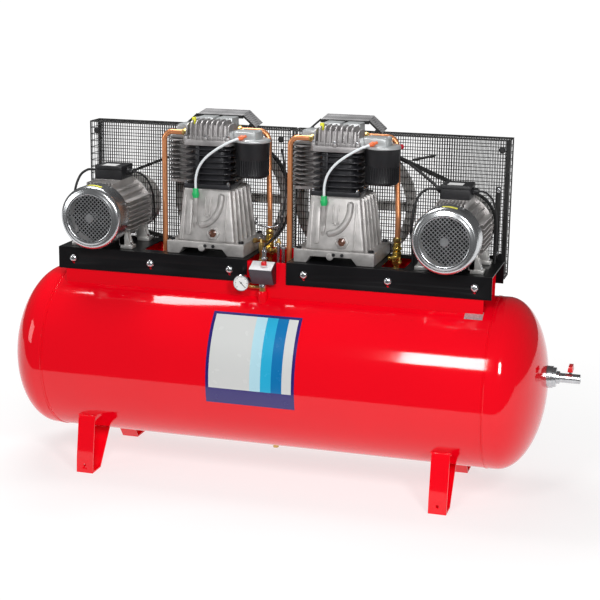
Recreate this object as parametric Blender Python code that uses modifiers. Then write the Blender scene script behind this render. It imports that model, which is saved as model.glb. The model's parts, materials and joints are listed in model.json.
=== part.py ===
"""Twin stack compressor: a 500-litre receiver that carries two belt-driven motor and pump sets."""

import math

import bmesh
import bpy
from mathutils import Matrix, Vector

# Metres. X runs along the tank from its middle, Y to the back, Z up, with the floor at 0.
# The base empty then moves it all, so that the origin is under the middle of the whole length.
GAP = 0.0003
SIDES = {"left": -1, "right": 1}

TANK_RADIUS = 0.300
TANK_AXIS_Z = 0.413
TANK_LENGTH = 1.583
TANK_WALL = 0.006
TANK_STEPS = 40
DISH_FLANGE = 0.030
DISH_DEPTH = 0.151

LEG_X = 0.651
LEG_WIDTH = 0.064
LEG_THICKNESS = 0.006

PLATE_INNER_X = 0.071
PLATE_OUTER_X = 0.787
PLATE_FRONT_Y = -0.138
PLATE_BACK_Y = 0.138
PLATE_TOP_Z = 0.812
PLATE_APRON = 0.079
PLATE_THICKNESS = 0.004
BOLT_PITCH = 0.297
BOLT_FIRST_X = 0.135
BOLT_Z = 0.773
KEYHOLE_DROPS = (0.011, 0.017)
WINDOW_X = (0.395, 0.478)
WINDOW_Y = (-0.090, 0.085)
RAIL_FACE_Y = 0.1335
RAIL_THICKNESS = 0.005
RAIL_END_X = 0.760

MOTOR_X = 0.633
MOTOR_AXIS_Z = 0.935
FRAME_RADIUS = 0.111
FRAME_ROOT_RADIUS = 0.099
FRAME_BORE_RADIUS = 0.088
FRAME_Y = (-0.118, 0.100)
SHAFT_RADIUS = 0.014

PUMP_X = 0.234
CRANK_Z = 0.975
CRANK_THROW = 0.034
JOURNAL_RADIUS = 0.0175
HEAD_BASE_Z = 1.200

GUARD_Y = (0.157, 0.245)
GUARD_X = (0.004, 0.787)
GUARD_Z = (0.745, 1.235)
GUARD_THICKNESS = 0.0012
HOOD_SHIFT_X = -0.038

BELT_Y = (0.1815, 0.2125)
BELT_THICKNESS = 0.010
MOTOR_SEAT_RADIUS = 0.0975
CRANK_SEAT_RADIUS = 0.212
BELT_CLEARANCE = 0.002
SHEAVE_Y = (0.172, 0.222)

PIPE_RADIUS = 0.0095
OUTLET_Z = 0.449
OUTLET_HANDLE_X = 1.049
OUTLET_END_X = 1.083
SWITCH_X = (-0.048, 0.034)
GAUGE_CENTRE = (-0.0785, -0.157, 0.737)
RISER_Y = -0.148

ALONG_X = (0, math.pi / 2, 0)
ALONG_Y = (-math.pi / 2, 0, 0)

# Colour, roughness and metallic value of each finish.
FINISHES = {
    "red_enamel": ((0.80, 0.01, 0.02), 0.22, 0.0),
    "black_enamel": ((0.015, 0.015, 0.017), 0.40, 0.0),
    "black_iron": ((0.03, 0.03, 0.035), 0.55, 0.3),
    "black_plastic": ((0.02, 0.02, 0.025), 0.50, 0.0),
    "black_rubber": ((0.02, 0.02, 0.02), 0.80, 0.0),
    "cast_aluminium": ((0.62, 0.60, 0.59), 0.50, 0.8),
    "grey_iron": ((0.38, 0.37, 0.38), 0.55, 0.6),
    "silver_steel": ((0.70, 0.72, 0.74), 0.28, 0.9),
    "steel": ((0.55, 0.55, 0.57), 0.35, 1.0),
    "copper": ((0.85, 0.40, 0.22), 0.30, 1.0),
    "brass": ((0.75, 0.58, 0.28), 0.30, 1.0),
    "white_nylon": ((0.85, 0.86, 0.86), 0.45, 0.0),
    "grey_plastic": ((0.10, 0.09, 0.11), 0.50, 0.0),
    "red_plastic": ((0.70, 0.03, 0.04), 0.40, 0.0),
    "needle_black": ((0.01, 0.01, 0.01), 0.50, 0.0),
}


def clear_scene():
    for item in list(bpy.data.objects):
        bpy.data.objects.remove(item, do_unlink=True)


def new_collection(name, helper):
    group = bpy.data.collections.new(name)
    bpy.context.scene.collection.children.link(group)
    group.hide_render = helper
    return group


clear_scene()
PARTS = new_collection("twin_stack_compressor", False)
CUTTERS = new_collection("cutters", True)
BASE = bpy.data.objects.new("base", None)
PARTS.objects.link(BASE)
BASE.location.x = -(OUTLET_END_X - TANK_LENGTH / 2 - GAP - DISH_FLANGE - DISH_DEPTH) / 2


# Shared tools.


def paint(piece, finish):
    colour, roughness, metallic = FINISHES[finish]
    skin = bpy.data.materials.new(piece.name)
    skin.use_nodes = True
    shader = skin.node_tree.nodes["Principled BSDF"]
    shader.inputs["Base Color"].default_value = (*colour, 1)
    shader.inputs["Roughness"].default_value = roughness
    shader.inputs["Metallic"].default_value = metallic
    piece.data.materials.append(skin)


def place(name, data, holder, spot, turn, group):
    piece = bpy.data.objects.new(name, data)
    group.objects.link(piece)
    piece.parent = holder or BASE
    piece.location = spot
    piece.rotation_euler = turn
    return piece


def part(name, mesh, finish, holder=None, spot=(0, 0, 0), turn=(0, 0, 0)):
    """A named piece of the compressor."""
    piece = place(name, mesh, holder, spot, turn, PARTS)
    paint(piece, finish)
    return piece


def helper(mesh, holder=None, spot=(0, 0, 0), turn=(0, 0, 0)):
    """A shape that only cuts or joins."""
    piece = place("tool", mesh, holder, spot, turn, CUTTERS)
    piece.hide_render = True
    piece.display_type = "WIRE"
    return piece


def empty(name, spot):
    holder = place(name, None, None, spot, (0, 0, 0), PARTS)
    holder.empty_display_size = 0.05
    return holder


def boolean(piece, tool, operation):
    change = piece.modifiers.new(operation.lower(), "BOOLEAN")
    change.operation = operation
    change.object = tool


def join(piece, *tools):
    for tool in tools:
        boolean(piece, tool, "UNION")


def cut(piece, *tools):
    for tool in tools:
        boolean(piece, tool, "DIFFERENCE")


def finish_mesh(shape, name):
    bmesh.ops.recalc_face_normals(shape, faces=shape.faces)
    mesh = bpy.data.meshes.new(name)
    shape.to_mesh(mesh)
    shape.free()
    return mesh


def box(low, high, taper=(1, 1), shift=(0, 0)):
    """A block between two corners, whose top can be smaller by taper and moved sideways by shift."""
    shape = bmesh.new()
    bmesh.ops.create_cube(shape, size=1)
    middle = (Vector(low) + Vector(high)) / 2
    size = Vector(high) - Vector(low)
    for vertex in shape.verts:
        top = vertex.co.z > 0
        for axis in (0, 1):
            vertex.co[axis] *= size[axis] * (taper[axis] if top else 1)
            vertex.co[axis] += shift[axis] if top else 0
        vertex.co.z *= size.z
        vertex.co += middle
    return finish_mesh(shape, "block")


def rod(radius, start, end, steps=20, angle=0.0):
    """A round bar between two points."""
    start = Vector(start)
    run = Vector(end) - start
    turn = run.to_track_quat("Z", "Y").to_matrix().to_4x4() @ Matrix.Rotation(angle, 4, "Z")
    shape = bmesh.new()
    bmesh.ops.create_cone(
        shape,
        cap_ends=True,
        segments=steps,
        radius1=radius,
        radius2=radius,
        depth=run.length,
        matrix=Matrix.Translation(start + run / 2) @ turn,
    )
    mesh = finish_mesh(shape, "bar")
    mesh.shade_smooth()
    mesh.set_sharp_from_angle(angle=math.radians(40))
    return mesh


def prism(outline, low, high):
    """An outline in X and Z, drawn out along Y."""
    shape = bmesh.new()
    face = shape.faces.new([shape.verts.new((x, low, z)) for x, z in outline])
    drawn = bmesh.ops.extrude_face_region(shape, geom=[face])
    moved = [item for item in drawn["geom"] if isinstance(item, bmesh.types.BMVert)]
    bmesh.ops.translate(shape, verts=moved, vec=(0, high - low, 0))
    return finish_mesh(shape, "prism")


def strip(route, offset, closed=False):
    """An open band: a route's points, drawn out once by offset."""
    shape = bmesh.new()
    points = [shape.verts.new(point) for point in route]
    for first, second in zip(points, points[1:] + points[:1] if closed else points[1:]):
        shape.edges.new((first, second))
    drawn = bmesh.ops.extrude_edge_only(shape, edges=shape.edges[:])
    moved = [item for item in drawn["geom"] if isinstance(item, bmesh.types.BMVert)]
    bmesh.ops.translate(shape, verts=moved, vec=offset)
    return finish_mesh(shape, "band")


def solidify(piece, thickness, side):
    wall = piece.modifiers.new("wall", "SOLIDIFY")
    wall.thickness = thickness
    wall.offset = side
    wall.use_even_offset = True


def profile(points, closed):
    """The half section of a turned shape, as (radius, height) from the top down its outer side."""
    mesh = bpy.data.meshes.new("section")
    ends = [(index, index + 1) for index in range(len(points) - 1)]
    if closed:
        ends.append((len(points) - 1, 0))
    mesh.from_pydata([(radius, 0, height) for radius, height in points], ends, [])
    return mesh


def turn_round(piece, steps):
    screw = piece.modifiers.new("turned", "SCREW")
    screw.steps = steps
    screw.render_steps = steps
    screw.use_merge_vertices = True
    screw.merge_threshold = 0.00001
    screw.use_smooth_shade = True


def turned(name, points, finish, holder=None, spot=(0, 0, 0), turn=(0, 0, 0), steps=24, closed=False):
    piece = part(name, profile(points, closed), finish, holder, spot, turn)
    turn_round(piece, steps)
    return piece


def bend(route, radius, steps=5):
    """The route with each corner rounded."""
    points = [Vector(route[0])]
    for before, corner, after in zip(route, route[1:], route[2:]):
        corner = Vector(corner)
        back = (Vector(before) - corner).normalized()
        ahead = (Vector(after) - corner).normalized()
        half = back.angle(ahead) / 2
        centre = corner + (back + ahead).normalized() * radius / math.sin(half)
        first = (corner + back * radius / math.tan(half) - centre).normalized()
        last = (corner + ahead * radius / math.tan(half) - centre).normalized()
        points += [centre + first.slerp(last, step / steps) * radius for step in range(steps + 1)]
    return points + [Vector(route[-1])]


def smooth(route, steps=4):
    """A curve through the route's points, whose first and last spans are straight."""
    points = [Vector(route[0])]
    for knots in zip(route, route[1:], route[2:], route[3:]):
        a, b, c, d = (Vector(knot) for knot in knots)
        for step in range(steps):
            t = step / steps
            curve = 2 * b + (c - a) * t + (2 * a - 5 * b + 4 * c - d) * t**2
            points.append((curve + (3 * b - a - 3 * c + d) * t**3) / 2)
    return points + [Vector(route[-2]), Vector(route[-1])]


def tube(name, points, radius, finish, holder):
    line = bpy.data.curves.new(name, "CURVE")
    line.dimensions = "3D"
    line.bevel_depth = radius
    line.bevel_resolution = 2
    line.use_fill_caps = True
    spline = line.splines.new("POLY")
    spline.points.add(len(points) - 1)
    for knot, point in zip(spline.points, points):
        knot.co = (*point, 1)
    return part(name, line, finish, holder)


# The receiver.


def dish_points(grow):
    """Outer curve of a dished end, from its tip out to its flange."""
    arc = [math.radians(90 * step / 6) for step in range(7)]
    points = [
        ((TANK_RADIUS + grow) * math.sin(angle), DISH_FLANGE + (DISH_DEPTH + grow) * math.cos(angle))
        for angle in arc
    ]
    return points + [(TANK_RADIUS + grow, 0)]


def tank_tool():
    """The tank's outside, a gap larger, which trims whatever stands against it."""
    grown = TANK_RADIUS + GAP / math.cos(math.pi / TANK_STEPS)
    half = TANK_LENGTH / 2
    section = profile([(0, half), (grown, half), (grown, -half), (0, -half)], False)
    tool = helper(section, None, (0, 0, TANK_AXIS_Z), ALONG_X)
    turn_round(tool, TANK_STEPS)
    return tool


def dish_tool():
    points = dish_points(GAP) + [(0, 0)]
    tool = helper(profile(points, False), None, (TANK_LENGTH / 2 + GAP, 0, TANK_AXIS_Z), ALONG_X)
    turn_round(tool, TANK_STEPS)
    return tool


def make_tank():
    half = TANK_LENGTH / 2
    inner = TANK_RADIUS - TANK_WALL
    wall = [(inner, half), (TANK_RADIUS, half), (TANK_RADIUS, -half), (inner, -half)]
    centre = (0, 0, TANK_AXIS_Z)
    turned("tank_shell", wall, "red_enamel", None, centre, ALONG_X, TANK_STEPS, True)
    points = dish_points(0) + dish_points(-TANK_WALL)[::-1]
    for side, sign in SIDES.items():
        spot = (sign * (half + GAP), 0, TANK_AXIS_Z)
        turn = (0, sign * math.pi / 2, 0)
        turned("tank_end_" + side, points, "red_enamel", None, spot, turn, TANK_STEPS)


def make_leg(name, sign_x, sign_y, tank):
    """A flat bar folded into a foot, with both of its ends welded under the tank."""
    low = LEG_THICKNESS / 2
    fold = [(0.216, 0.217), (0.226, 0.190), (0.248, 0.056), (0.251, low), (0.183, low), (0.072, 0.154)]
    start = sign_x * LEG_X - LEG_WIDTH / 2
    route = [(start, sign_y * y, z) for y, z in fold]
    leg = part(name, strip(route, (LEG_WIDTH, 0, 0)), "red_enamel")
    solidify(leg, LEG_THICKNESS, 0)
    anchor_start = (sign_x * LEG_X, sign_y * 0.20, 0.028)
    anchor_end = (sign_x * LEG_X, sign_y * 0.30, 0.028)
    anchor_hole = rod(0.0055, anchor_start, anchor_end, 12)
    cut(leg, tank, helper(anchor_hole))


def make_cradle(tank):
    """Two rails welded along the tank, tied by flat bars, that carry both bed plates."""
    top = PLATE_TOP_Z - PLATE_THICKNESS - GAP
    inner = RAIL_FACE_Y - RAIL_THICKNESS
    cradle = part("cradle", box((-RAIL_END_X, -RAIL_FACE_Y, 0.655), (RAIL_END_X, -inner, top)), "red_enamel")
    join(cradle, helper(box((-RAIL_END_X, inner, 0.655), (RAIL_END_X, RAIL_FACE_Y, top))))
    for x in (-0.69, -0.25, 0.25, 0.69):
        reach = RAIL_FACE_Y - 0.001
        bar = box((x - 0.025, -reach, top - 0.011), (x + 0.025, reach, top - 0.003))
        join(cradle, helper(bar))
    cut(cradle, tank)


def make_outlet(dish):
    spot = (0, 0, OUTLET_Z)
    steps = [
        (0, 1.065),
        (0.0105, 1.065),
        (0.0105, OUTLET_END_X),
        (0.0165, OUTLET_END_X),
        (0.0165, 1.015),
        (0.022, 1.013),
        (0.022, 1.003),
        (0.034, 1.002),
        (0.034, 0.992),
        (0.038, 0.991),
        (0.038, 0.955),
        (0, 0.955),
    ]
    body = turned("outlet_valve_body", steps, "steel", None, spot, ALONG_X, 16)
    cut(body, dish)
    lever = empty("outlet_handle_axis", (OUTLET_HANDLE_X, 0, OUTLET_Z))
    stem = rod(0.004, (0, 0, 0.0165 + GAP), (0, 0, 0.034), 10)
    handle = part("outlet_valve_handle", stem, "red_plastic", lever)
    join(handle, helper(box((-0.009, -0.026, 0.0285), (0.009, 0.026, 0.047), (0.75, 0.8)), lever))


def make_drain_plug():
    bottom = TANK_AXIS_Z - TANK_RADIUS
    hexagon = [(0, bottom - GAP), (0.016, bottom - GAP), (0.016, bottom - 0.012), (0.011, bottom - 0.013)]
    hexagon += [(0.011, bottom - 0.026), (0, bottom - 0.026)]
    turned("drain_plug", hexagon, "brass", steps=6)


# The switch group at the front, between the bed plates.


def make_switch():
    back = -RAIL_FACE_Y - GAP
    case = [(-0.160, 0.733), (-0.192, 0.788), (-0.140, 0.812), (back, 0.812), (back, 0.733)]
    width = SWITCH_X[1] - SWITCH_X[0]
    turn = (0, 0, math.pi / 2)
    body = prism([(y, z) for y, z in case], -SWITCH_X[1], -SWITCH_X[0])
    part("pressure_switch_body", body, "grey_plastic", None, (0, 0, 0), turn)
    slope = math.atan2(0.812 - 0.788, 0.192 - 0.140)
    knob_axis = empty("switch_knob_axis", (SWITCH_X[0] + 0.6 * width, -0.166, 0.800))
    knob_axis.rotation_euler = (slope, 0, 0)
    knob = [(0, 0.016), (0.009, 0.015), (0.009, 0.009), (0.005, 0.008), (0.005, GAP), (0, GAP)]
    turned("pressure_switch_knob", knob, "red_plastic", knob_axis, steps=14)


def make_manifold(tank):
    """The riser that carries the switch, with a side arm to the gauge."""
    gauge_x, gauge_back, _ = GAUGE_CENTRE
    arm_z = 0.7195
    stem = rod(0.012, (-0.010, RISER_Y, 0.650), (-0.010, RISER_Y, 0.733 - GAP), 16)
    riser = part("manifold", stem, "brass")
    arm = rod(0.006, (gauge_x - 0.003, RISER_Y, arm_z), (-0.010, RISER_Y, arm_z), 10)
    stub = rod(0.006, (gauge_x, gauge_back + GAP, arm_z), (gauge_x, RISER_Y + 0.004, arm_z), 10)
    join(riser, helper(arm), helper(stub))
    cut(riser, tank)


def make_gauge():
    axis = empty("gauge_axis", GAUGE_CENTRE)
    case = [(0, 0), (0.027, 0), (0.029, -0.003), (0.029, -0.025)]
    case += [(0.0265, -0.025), (0.0265, -0.020), (0, -0.020)]
    turned("gauge_body", case, "white_nylon", axis, turn=ALONG_Y, steps=28)
    aim = math.radians(-45)
    hand = box((-0.008, -0.0235, -0.0008), (0.022, -0.0225, 0.0008))
    needle = part("gauge_needle", hand, "needle_black", axis, turn=(0, -aim, 0))
    join(needle, helper(rod(0.0025, (0, -0.0238, 0), (0, -0.0208, 0), 10), needle))


def make_safety_valve(tank):
    x, y = -0.046, -0.050
    seat = TANK_AXIS_Z + TANK_RADIUS - 0.012
    body = [(0, 0.872), (0.005, 0.872), (0.005, 0.858), (0.0095, 0.856), (0.0095, 0.828), (0.007, 0.826)]
    body += [(0.007, 0.800), (0.010, 0.798), (0.010, seat), (0, seat)]
    valve = turned("safety_valve_body", body, "brass", None, (x, y, 0), steps=12)
    cut(valve, tank)
    ring = empty("safety_ring_axis", (x, y, 0.872))
    circle = smooth([(0.010 * math.cos(a), 0, 0.0115 + 0.010 * math.sin(a)) for a in ring_angles(14)], 1)
    tube("safety_valve_ring", circle, 0.0012, "steel", ring)


def ring_angles(count):
    """Angles round a split ring whose ends nearly meet at its foot."""
    first = math.radians(-82)
    return [first + math.radians(344) * step / count for step in range(count + 1)]


# One bed plate with its motor, pump, belt and guard.


def make_bed_plate(side, sign):
    """A folded steel sheet with keyholes along its front and a window between motor and pump."""
    inner, outer = sorted((sign * PLATE_INNER_X, sign * PLATE_OUTER_X))
    foot = PLATE_TOP_Z - PLATE_APRON
    fold = [(PLATE_FRONT_Y, foot), (PLATE_FRONT_Y, PLATE_TOP_Z)]
    fold += [(PLATE_BACK_Y, PLATE_TOP_Z), (PLATE_BACK_Y, foot)]
    band = strip([(inner, y, z) for y, z in fold], (outer - inner, 0, 0))
    plate = part("bed_plate_" + side, band, "black_enamel")
    solidify(plate, PLATE_THICKNESS, -1)
    low, high = sorted((sign * WINDOW_X[0], sign * WINDOW_X[1]))
    window = helper(box((low, WINDOW_Y[0], 0.78), (high, WINDOW_Y[1], 0.83)))
    cut(plate, window)
    for index in range(3):
        x = sign * (BOLT_FIRST_X + index * BOLT_PITCH)
        cut(plate, helper(rod(0.0085, (x, -0.15, BOLT_Z), (x, -0.12, BOLT_Z), 12)))
        for drop in KEYHOLE_DROPS:
            z = BOLT_Z - drop
            cut(plate, helper(rod(0.0048, (x, -0.15, z), (x, -0.12, z), 10)))


def fin_outline():
    """The stator housing's section: cooling fins all round."""
    count = 16
    outline = []
    for index in range(count):
        fin = ((-0.3, FRAME_ROOT_RADIUS), (-0.2, FRAME_RADIUS), (0.2, FRAME_RADIUS), (0.3, FRAME_ROOT_RADIUS))
        for turn, radius in fin:
            angle = 2 * math.pi * (index + turn) / count
            outline.append((radius * math.cos(angle), radius * math.sin(angle)))
    return outline


def make_motor(side, sign):
    axis = empty("motor_axis_" + side, (sign * MOTOR_X, 0, MOTOR_AXIS_Z))
    foot_z = PLATE_TOP_Z + GAP - MOTOR_AXIS_Z
    frame = part("motor_frame_" + side, prism(fin_outline(), *FRAME_Y), "cast_aluminium", axis)
    join(frame, helper(rod(0.113, (0, 0.0995, 0), (0, 0.114, 0), 24), axis))
    join(frame, helper(rod(0.035, (0, 0.113, 0), (0, 0.127, 0), 16), axis))
    join(frame, helper(rod(0.1115, (0, -0.1305, 0), (0, -0.1175, 0), 24), axis))
    for hand in (-1, 1):
        foot = [(0.118, foot_z), (0.118, foot_z + 0.016), (0.100, foot_z + 0.030), (0.084, -0.045)]
        foot += [(0.050, -0.070), (0.072, foot_z)]
        for low, high in ((-0.100, -0.062), (0.058, 0.096)):
            join(frame, helper(prism([(hand * x, z) for x, z in foot], low, high), axis))
    cut(frame, helper(rod(FRAME_BORE_RADIUS, (0, -0.106, 0), (0, 0.090, 0), 24), axis))
    cut(frame, helper(rod(SHAFT_RADIUS + 0.001, (0, -0.2, 0), (0, 0.2, 0), 20), axis))
    make_rotor(side, axis)
    make_fan_cover(side, axis)
    make_terminal_box(side, axis)


def make_rotor(side, axis):
    """Shaft and squirrel cage, which turn as one."""
    core = 0.080
    section = [(0, 0.237), (SHAFT_RADIUS, 0.237), (SHAFT_RADIUS, 0.076), (core, 0.075), (core, -0.075)]
    section += [(SHAFT_RADIUS, -0.076), (SHAFT_RADIUS, -0.165), (0, -0.165)]
    turned("motor_rotor_" + side, section, "steel", axis, turn=ALONG_Y, steps=20)


def make_fan_cover(side, axis):
    """A pressed steel cup whose face is cut through for the fan's air."""
    inside = [(0, -0.2105), (0.098, -0.209), (0.1085, -0.202), (0.112, -0.190), (0.112, -0.122)]
    outside = [(0.1135, -0.122), (0.1135, -0.191), (0.110, -0.2035), (0.099, -0.2115), (0, -0.212)]
    cover = turned("motor_fan_cover_" + side, inside + outside, "silver_steel", axis, turn=ALONG_Y, steps=32)
    pitch = 0.044
    for row in (-1, 0, 1):
        for column in (-1, 0, 1):
            spot = (pitch * (row + column) * math.sqrt(0.5), 0, pitch * (row - column) * math.sqrt(0.5))
            square = box((-0.014, -0.22, -0.014), (0.014, -0.20, 0.014))
            window = helper(square, axis, spot, (0, math.pi / 4, 0))
            cut(cover, window)


def make_terminal_box(side, axis):
    """Lidded box on top of the motor, with a cable gland on each flank."""
    shell = box((-0.052, -0.034, 0.1135), (0.052, 0.076, 0.162), (0.94, 0.94))
    case = part("terminal_box_" + side, shell, "black_plastic", axis)
    for hand in (-1, 1):
        gland = helper(rod(0.011, (hand * 0.045, 0.021, 0.138), (hand * 0.074, 0.021, 0.138), 12), axis)
        join(case, gland)
    drop = PLATE_TOP_Z + GAP - MOTOR_AXIS_Z
    route = [(-0.074 - GAP, 0.021, 0.138), (-0.088, 0.021, 0.138), (-0.106, 0.018, 0.136)]
    route += [(-0.130, 0.010, 0.116), (-0.146, 0.000, 0.070), (-0.151, -0.004, 0.010)]
    route += [(-0.149, -0.002, -0.050), (-0.146, 0, -0.095), (-0.145, 0, drop + 0.010), (-0.145, 0, drop)]
    tube("motor_cable_" + side, smooth(route, 3), 0.0045, "black_rubber", axis)


def sheave(rim, seat, bore):
    """Section of a grooved wheel, from its bore out and back."""
    back, front = SHEAVE_Y[1], SHEAVE_Y[0]
    return [
        (bore, back),
        (rim, back),
        (rim, back - 0.006),
        (seat, back - 0.008),
        (seat, front + 0.008),
        (rim, front + 0.006),
        (rim, front),
        (bore, front),
    ]


def make_belt(side, sign):
    motor = Vector((sign * MOTOR_X, MOTOR_AXIS_Z))
    crank = Vector((sign * PUMP_X, CRANK_Z))
    motor_radius = MOTOR_SEAT_RADIUS + BELT_CLEARANCE
    crank_radius = CRANK_SEAT_RADIUS + BELT_CLEARANCE + 0.0005
    line = crank - motor
    heading = math.atan2(line.y, line.x)
    lap = math.acos((motor_radius - crank_radius) / line.length)
    route = []
    for centre, radius, first, sweep in (
        (crank, crank_radius, heading - lap, 2 * lap),
        (motor, motor_radius, heading + lap, 2 * math.pi - 2 * lap),
    ):
        count = round(math.degrees(sweep) / 10)
        for step in range(count + 1):
            angle = first + sweep * step / count
            x = centre.x + radius * math.cos(angle)
            route.append((x, BELT_Y[0], centre.y + radius * math.sin(angle)))
    belt = part("v_belt_" + side, strip(route, (0, BELT_Y[1] - BELT_Y[0], 0), True), "black_rubber")
    solidify(belt, BELT_THICKNESS, 1)


def make_drive(side, sign, motor_axis, crank_axis):
    rim = MOTOR_SEAT_RADIUS + 0.0085
    section = sheave(rim, MOTOR_SEAT_RADIUS, SHAFT_RADIUS + GAP)
    turned("motor_pulley_" + side, section, "grey_iron", motor_axis, turn=ALONG_Y, steps=24, closed=True)
    rim = CRANK_SEAT_RADIUS + 0.008
    section = sheave(rim, CRANK_SEAT_RADIUS, 0.190)
    wheel = turned("flywheel_" + side, section, "black_iron", crank_axis, turn=ALONG_Y, steps=32, closed=True)
    join(wheel, helper(rod(0.036, (0, 0.168, 0), (0, 0.228, 0), 16), crank_axis))
    for spoke in range(5):
        arm = box((0.030, 0.186, -0.016), (0.195, 0.206, 0.016))
        join(wheel, helper(arm, crank_axis, turn=(0, 2 * math.pi * spoke / 5, 0)))
    cut(wheel, helper(rod(JOURNAL_RADIUS + GAP, (0, 0.15, 0), (0, 0.25, 0), 16), crank_axis))
    make_belt(side, sign)


def make_crankshaft(side, axis):
    """Two throws at half a turn, one for each cylinder."""
    shaft = part("crankshaft_" + side, rod(JOURNAL_RADIUS, (0, 0.116, 0), (0, 0.238, 0), 16), "steel", axis)
    join(shaft, helper(rod(JOURNAL_RADIUS, (0, 0.020, 0), (0, 0.064, 0), 16), axis))
    join(shaft, helper(rod(JOURNAL_RADIUS, (0, -0.056, 0), (0, -0.038, 0), 16), axis))
    for hand, webs in ((1, (-0.046, 0.014)), (-1, (0.058, 0.108))):
        for y in webs:
            web = box((-0.022, y, -0.048), (0.022, y + 0.012, 0.048))
            join(shaft, helper(web, axis))
        pin_z = hand * (CRANK_THROW - 0.004)
        pin = rod(0.015, (0, webs[0] + 0.006, pin_z), (0, webs[1] + 0.006, pin_z), 14)
        join(shaft, helper(pin, axis))


def make_crankcase(side, pump):
    """A tapered casting on a broad foot, hollow for the crank."""
    floor = PLATE_TOP_Z + GAP
    foot = box((-0.143, -0.115, floor), (0.143, 0.137, 0.858))
    case = part("crankcase_" + side, foot, "cast_aluminium", pump)
    upper = box((-0.106, -0.105, 0.857), (0.106, 0.137, 1.040), (0.84, 0.83), (-0.011, 0.021))
    join(case, helper(upper, pump))
    filler = rod(0.009, (-0.045, -0.086, 0.900), (-0.045, -0.086, 1.0175), 12)
    join(case, helper(filler, pump))
    recess = box((-0.095, -0.20, floor - 0.01), (0.080, 0.20, 0.838), (0.8, 1))
    cavity = box((-0.096, -0.094, 0.848), (0.096, 0.127, 1.032), (0.84, 0.83), (-0.011, 0.019))
    cut(case, helper(recess, pump), helper(cavity, pump))
    cut(case, helper(rod(JOURNAL_RADIUS + 0.0012, (0, 0.11, CRANK_Z), (0, 0.16, CRANK_Z), 24), pump))
    for y in (-0.006, 0.092):
        cut(case, helper(rod(0.034, (-0.014, y, 1.02), (-0.014, y, 1.05), 16), pump))


def make_cylinders(side, pump):
    for name, finish, x, y, fins in (
        ("cylinder_front_", "black_iron", (-0.103, 0.0745), (-0.062, 0.047), 5),
        ("cylinder_rear_", "grey_iron", (-0.208, 0.078), (0.048, 0.145), 8),
    ):
        comb_block(name + side, finish, pump, x, y, fins)


def comb_block(name, finish, pump, x, y, fins):
    """A cylinder casting: flat fins on a smaller body, between two flanges, with a bore through them."""
    low = 1.040 + GAP
    high = HEAD_BASE_Z - GAP
    margin = 0.010
    body = box((x[0] + margin, y[0] + margin, low), (x[1] - margin, y[1] - margin, high))
    block = part(name, body, finish, pump)
    pitch = (high - low - 0.006) / fins
    for index in range(fins + 1):
        base = low + index * pitch
        join(block, helper(box((x[0], y[0], base), (x[1], y[1], base + 0.006)), pump))
    middle = (y[0] + y[1]) / 2
    cut(block, helper(rod(0.033, (-0.014, middle, 1.0), (-0.014, middle, 1.3), 16), pump))


def make_head(side, pump):
    """One casting over both cylinders, with the intake arm that the filter hangs from."""
    top = HEAD_BASE_Z + 0.012
    flange = box((-0.106, -0.066, HEAD_BASE_Z), (0.0745, 0.052, top))
    head = part("cylinder_head_" + side, flange, "cast_aluminium", pump)
    join(head, helper(box((-0.212, 0.044, HEAD_BASE_Z), (0.080, 0.148, top)), pump))
    dome = box((-0.098, -0.060, top - 0.001), (0.070, 0.046, 1.262), (0.86, 0.7), (0, 0.012))
    join(head, helper(dome, pump))
    join(head, helper(box((-0.172, 0.052, top - 0.001), (0.050, 0.144, 1.250)), pump))
    join(head, helper(box((0.060, -0.054, 1.2053), (0.190, 0.050, 1.244), (0.94, 0.8)), pump))


def make_filter(side, pump):
    """Intake canister, an open-topped cup below the head's arm."""
    low, high, radius, wall = 1.083, 1.205, 0.0612, 0.003
    section = [(0, low + wall), (radius - wall, low + wall), (radius - wall, high), (radius, high)]
    section += [(radius, low + 0.004), (radius - 0.004, low), (0, low)]
    turned("intake_filter_" + side, section, "black_plastic", pump, (0.1373, 0, 0), steps=20)


def make_pipes(side, pump, tank):
    """Copper pipes, the crankcase breather and the check valve on the tank."""
    landing = TANK_AXIS_Z + TANK_RADIUS + GAP
    left = [(-0.107, -0.005, 1.230), (-0.192, -0.005, 1.230), (-0.190, -0.005, landing)]
    tube("cooler_pipe_" + side, bend(left, 0.030), PIPE_RADIUS, "copper", pump)
    valve_x, valve_y, valve_top = 0.185, 0.060, 0.870
    right = [(0.0503, 0.096, 1.234), (0.166, 0.096, 1.234), (valve_x, valve_y, 0.960)]
    right.append((valve_x, valve_y, valve_top + GAP))
    tube("delivery_pipe_" + side, bend(right, 0.034), PIPE_RADIUS, "copper", pump)
    route = [(-0.045, -0.086, 1.0178), (-0.045, -0.086, 1.045), (-0.044, -0.087, 1.080)]
    route += [(-0.033, -0.088, 1.118), (-0.006, -0.088, 1.155), (0.035, -0.085, 1.187)]
    route += [(0.078, -0.076, 1.212), (0.108, -0.058, 1.2235)]
    tube("breather_tube_" + side, smooth(route, 3), 0.0045, "white_nylon", pump)
    seat = TANK_AXIS_Z + TANK_RADIUS - 0.012
    body = [(0, valve_top), (0.014, valve_top), (0.014, 0.850)]
    body += [(0.010, 0.848), (0.010, 0.838), (0.016, 0.836)]
    body += [(0.016, 0.812), (0.012, 0.810), (0.012, seat), (0, seat)]
    valve = turned("check_valve_" + side, body, "brass", pump, (valve_x, valve_y, 0), steps=12)
    cut(valve, tank)


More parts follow.
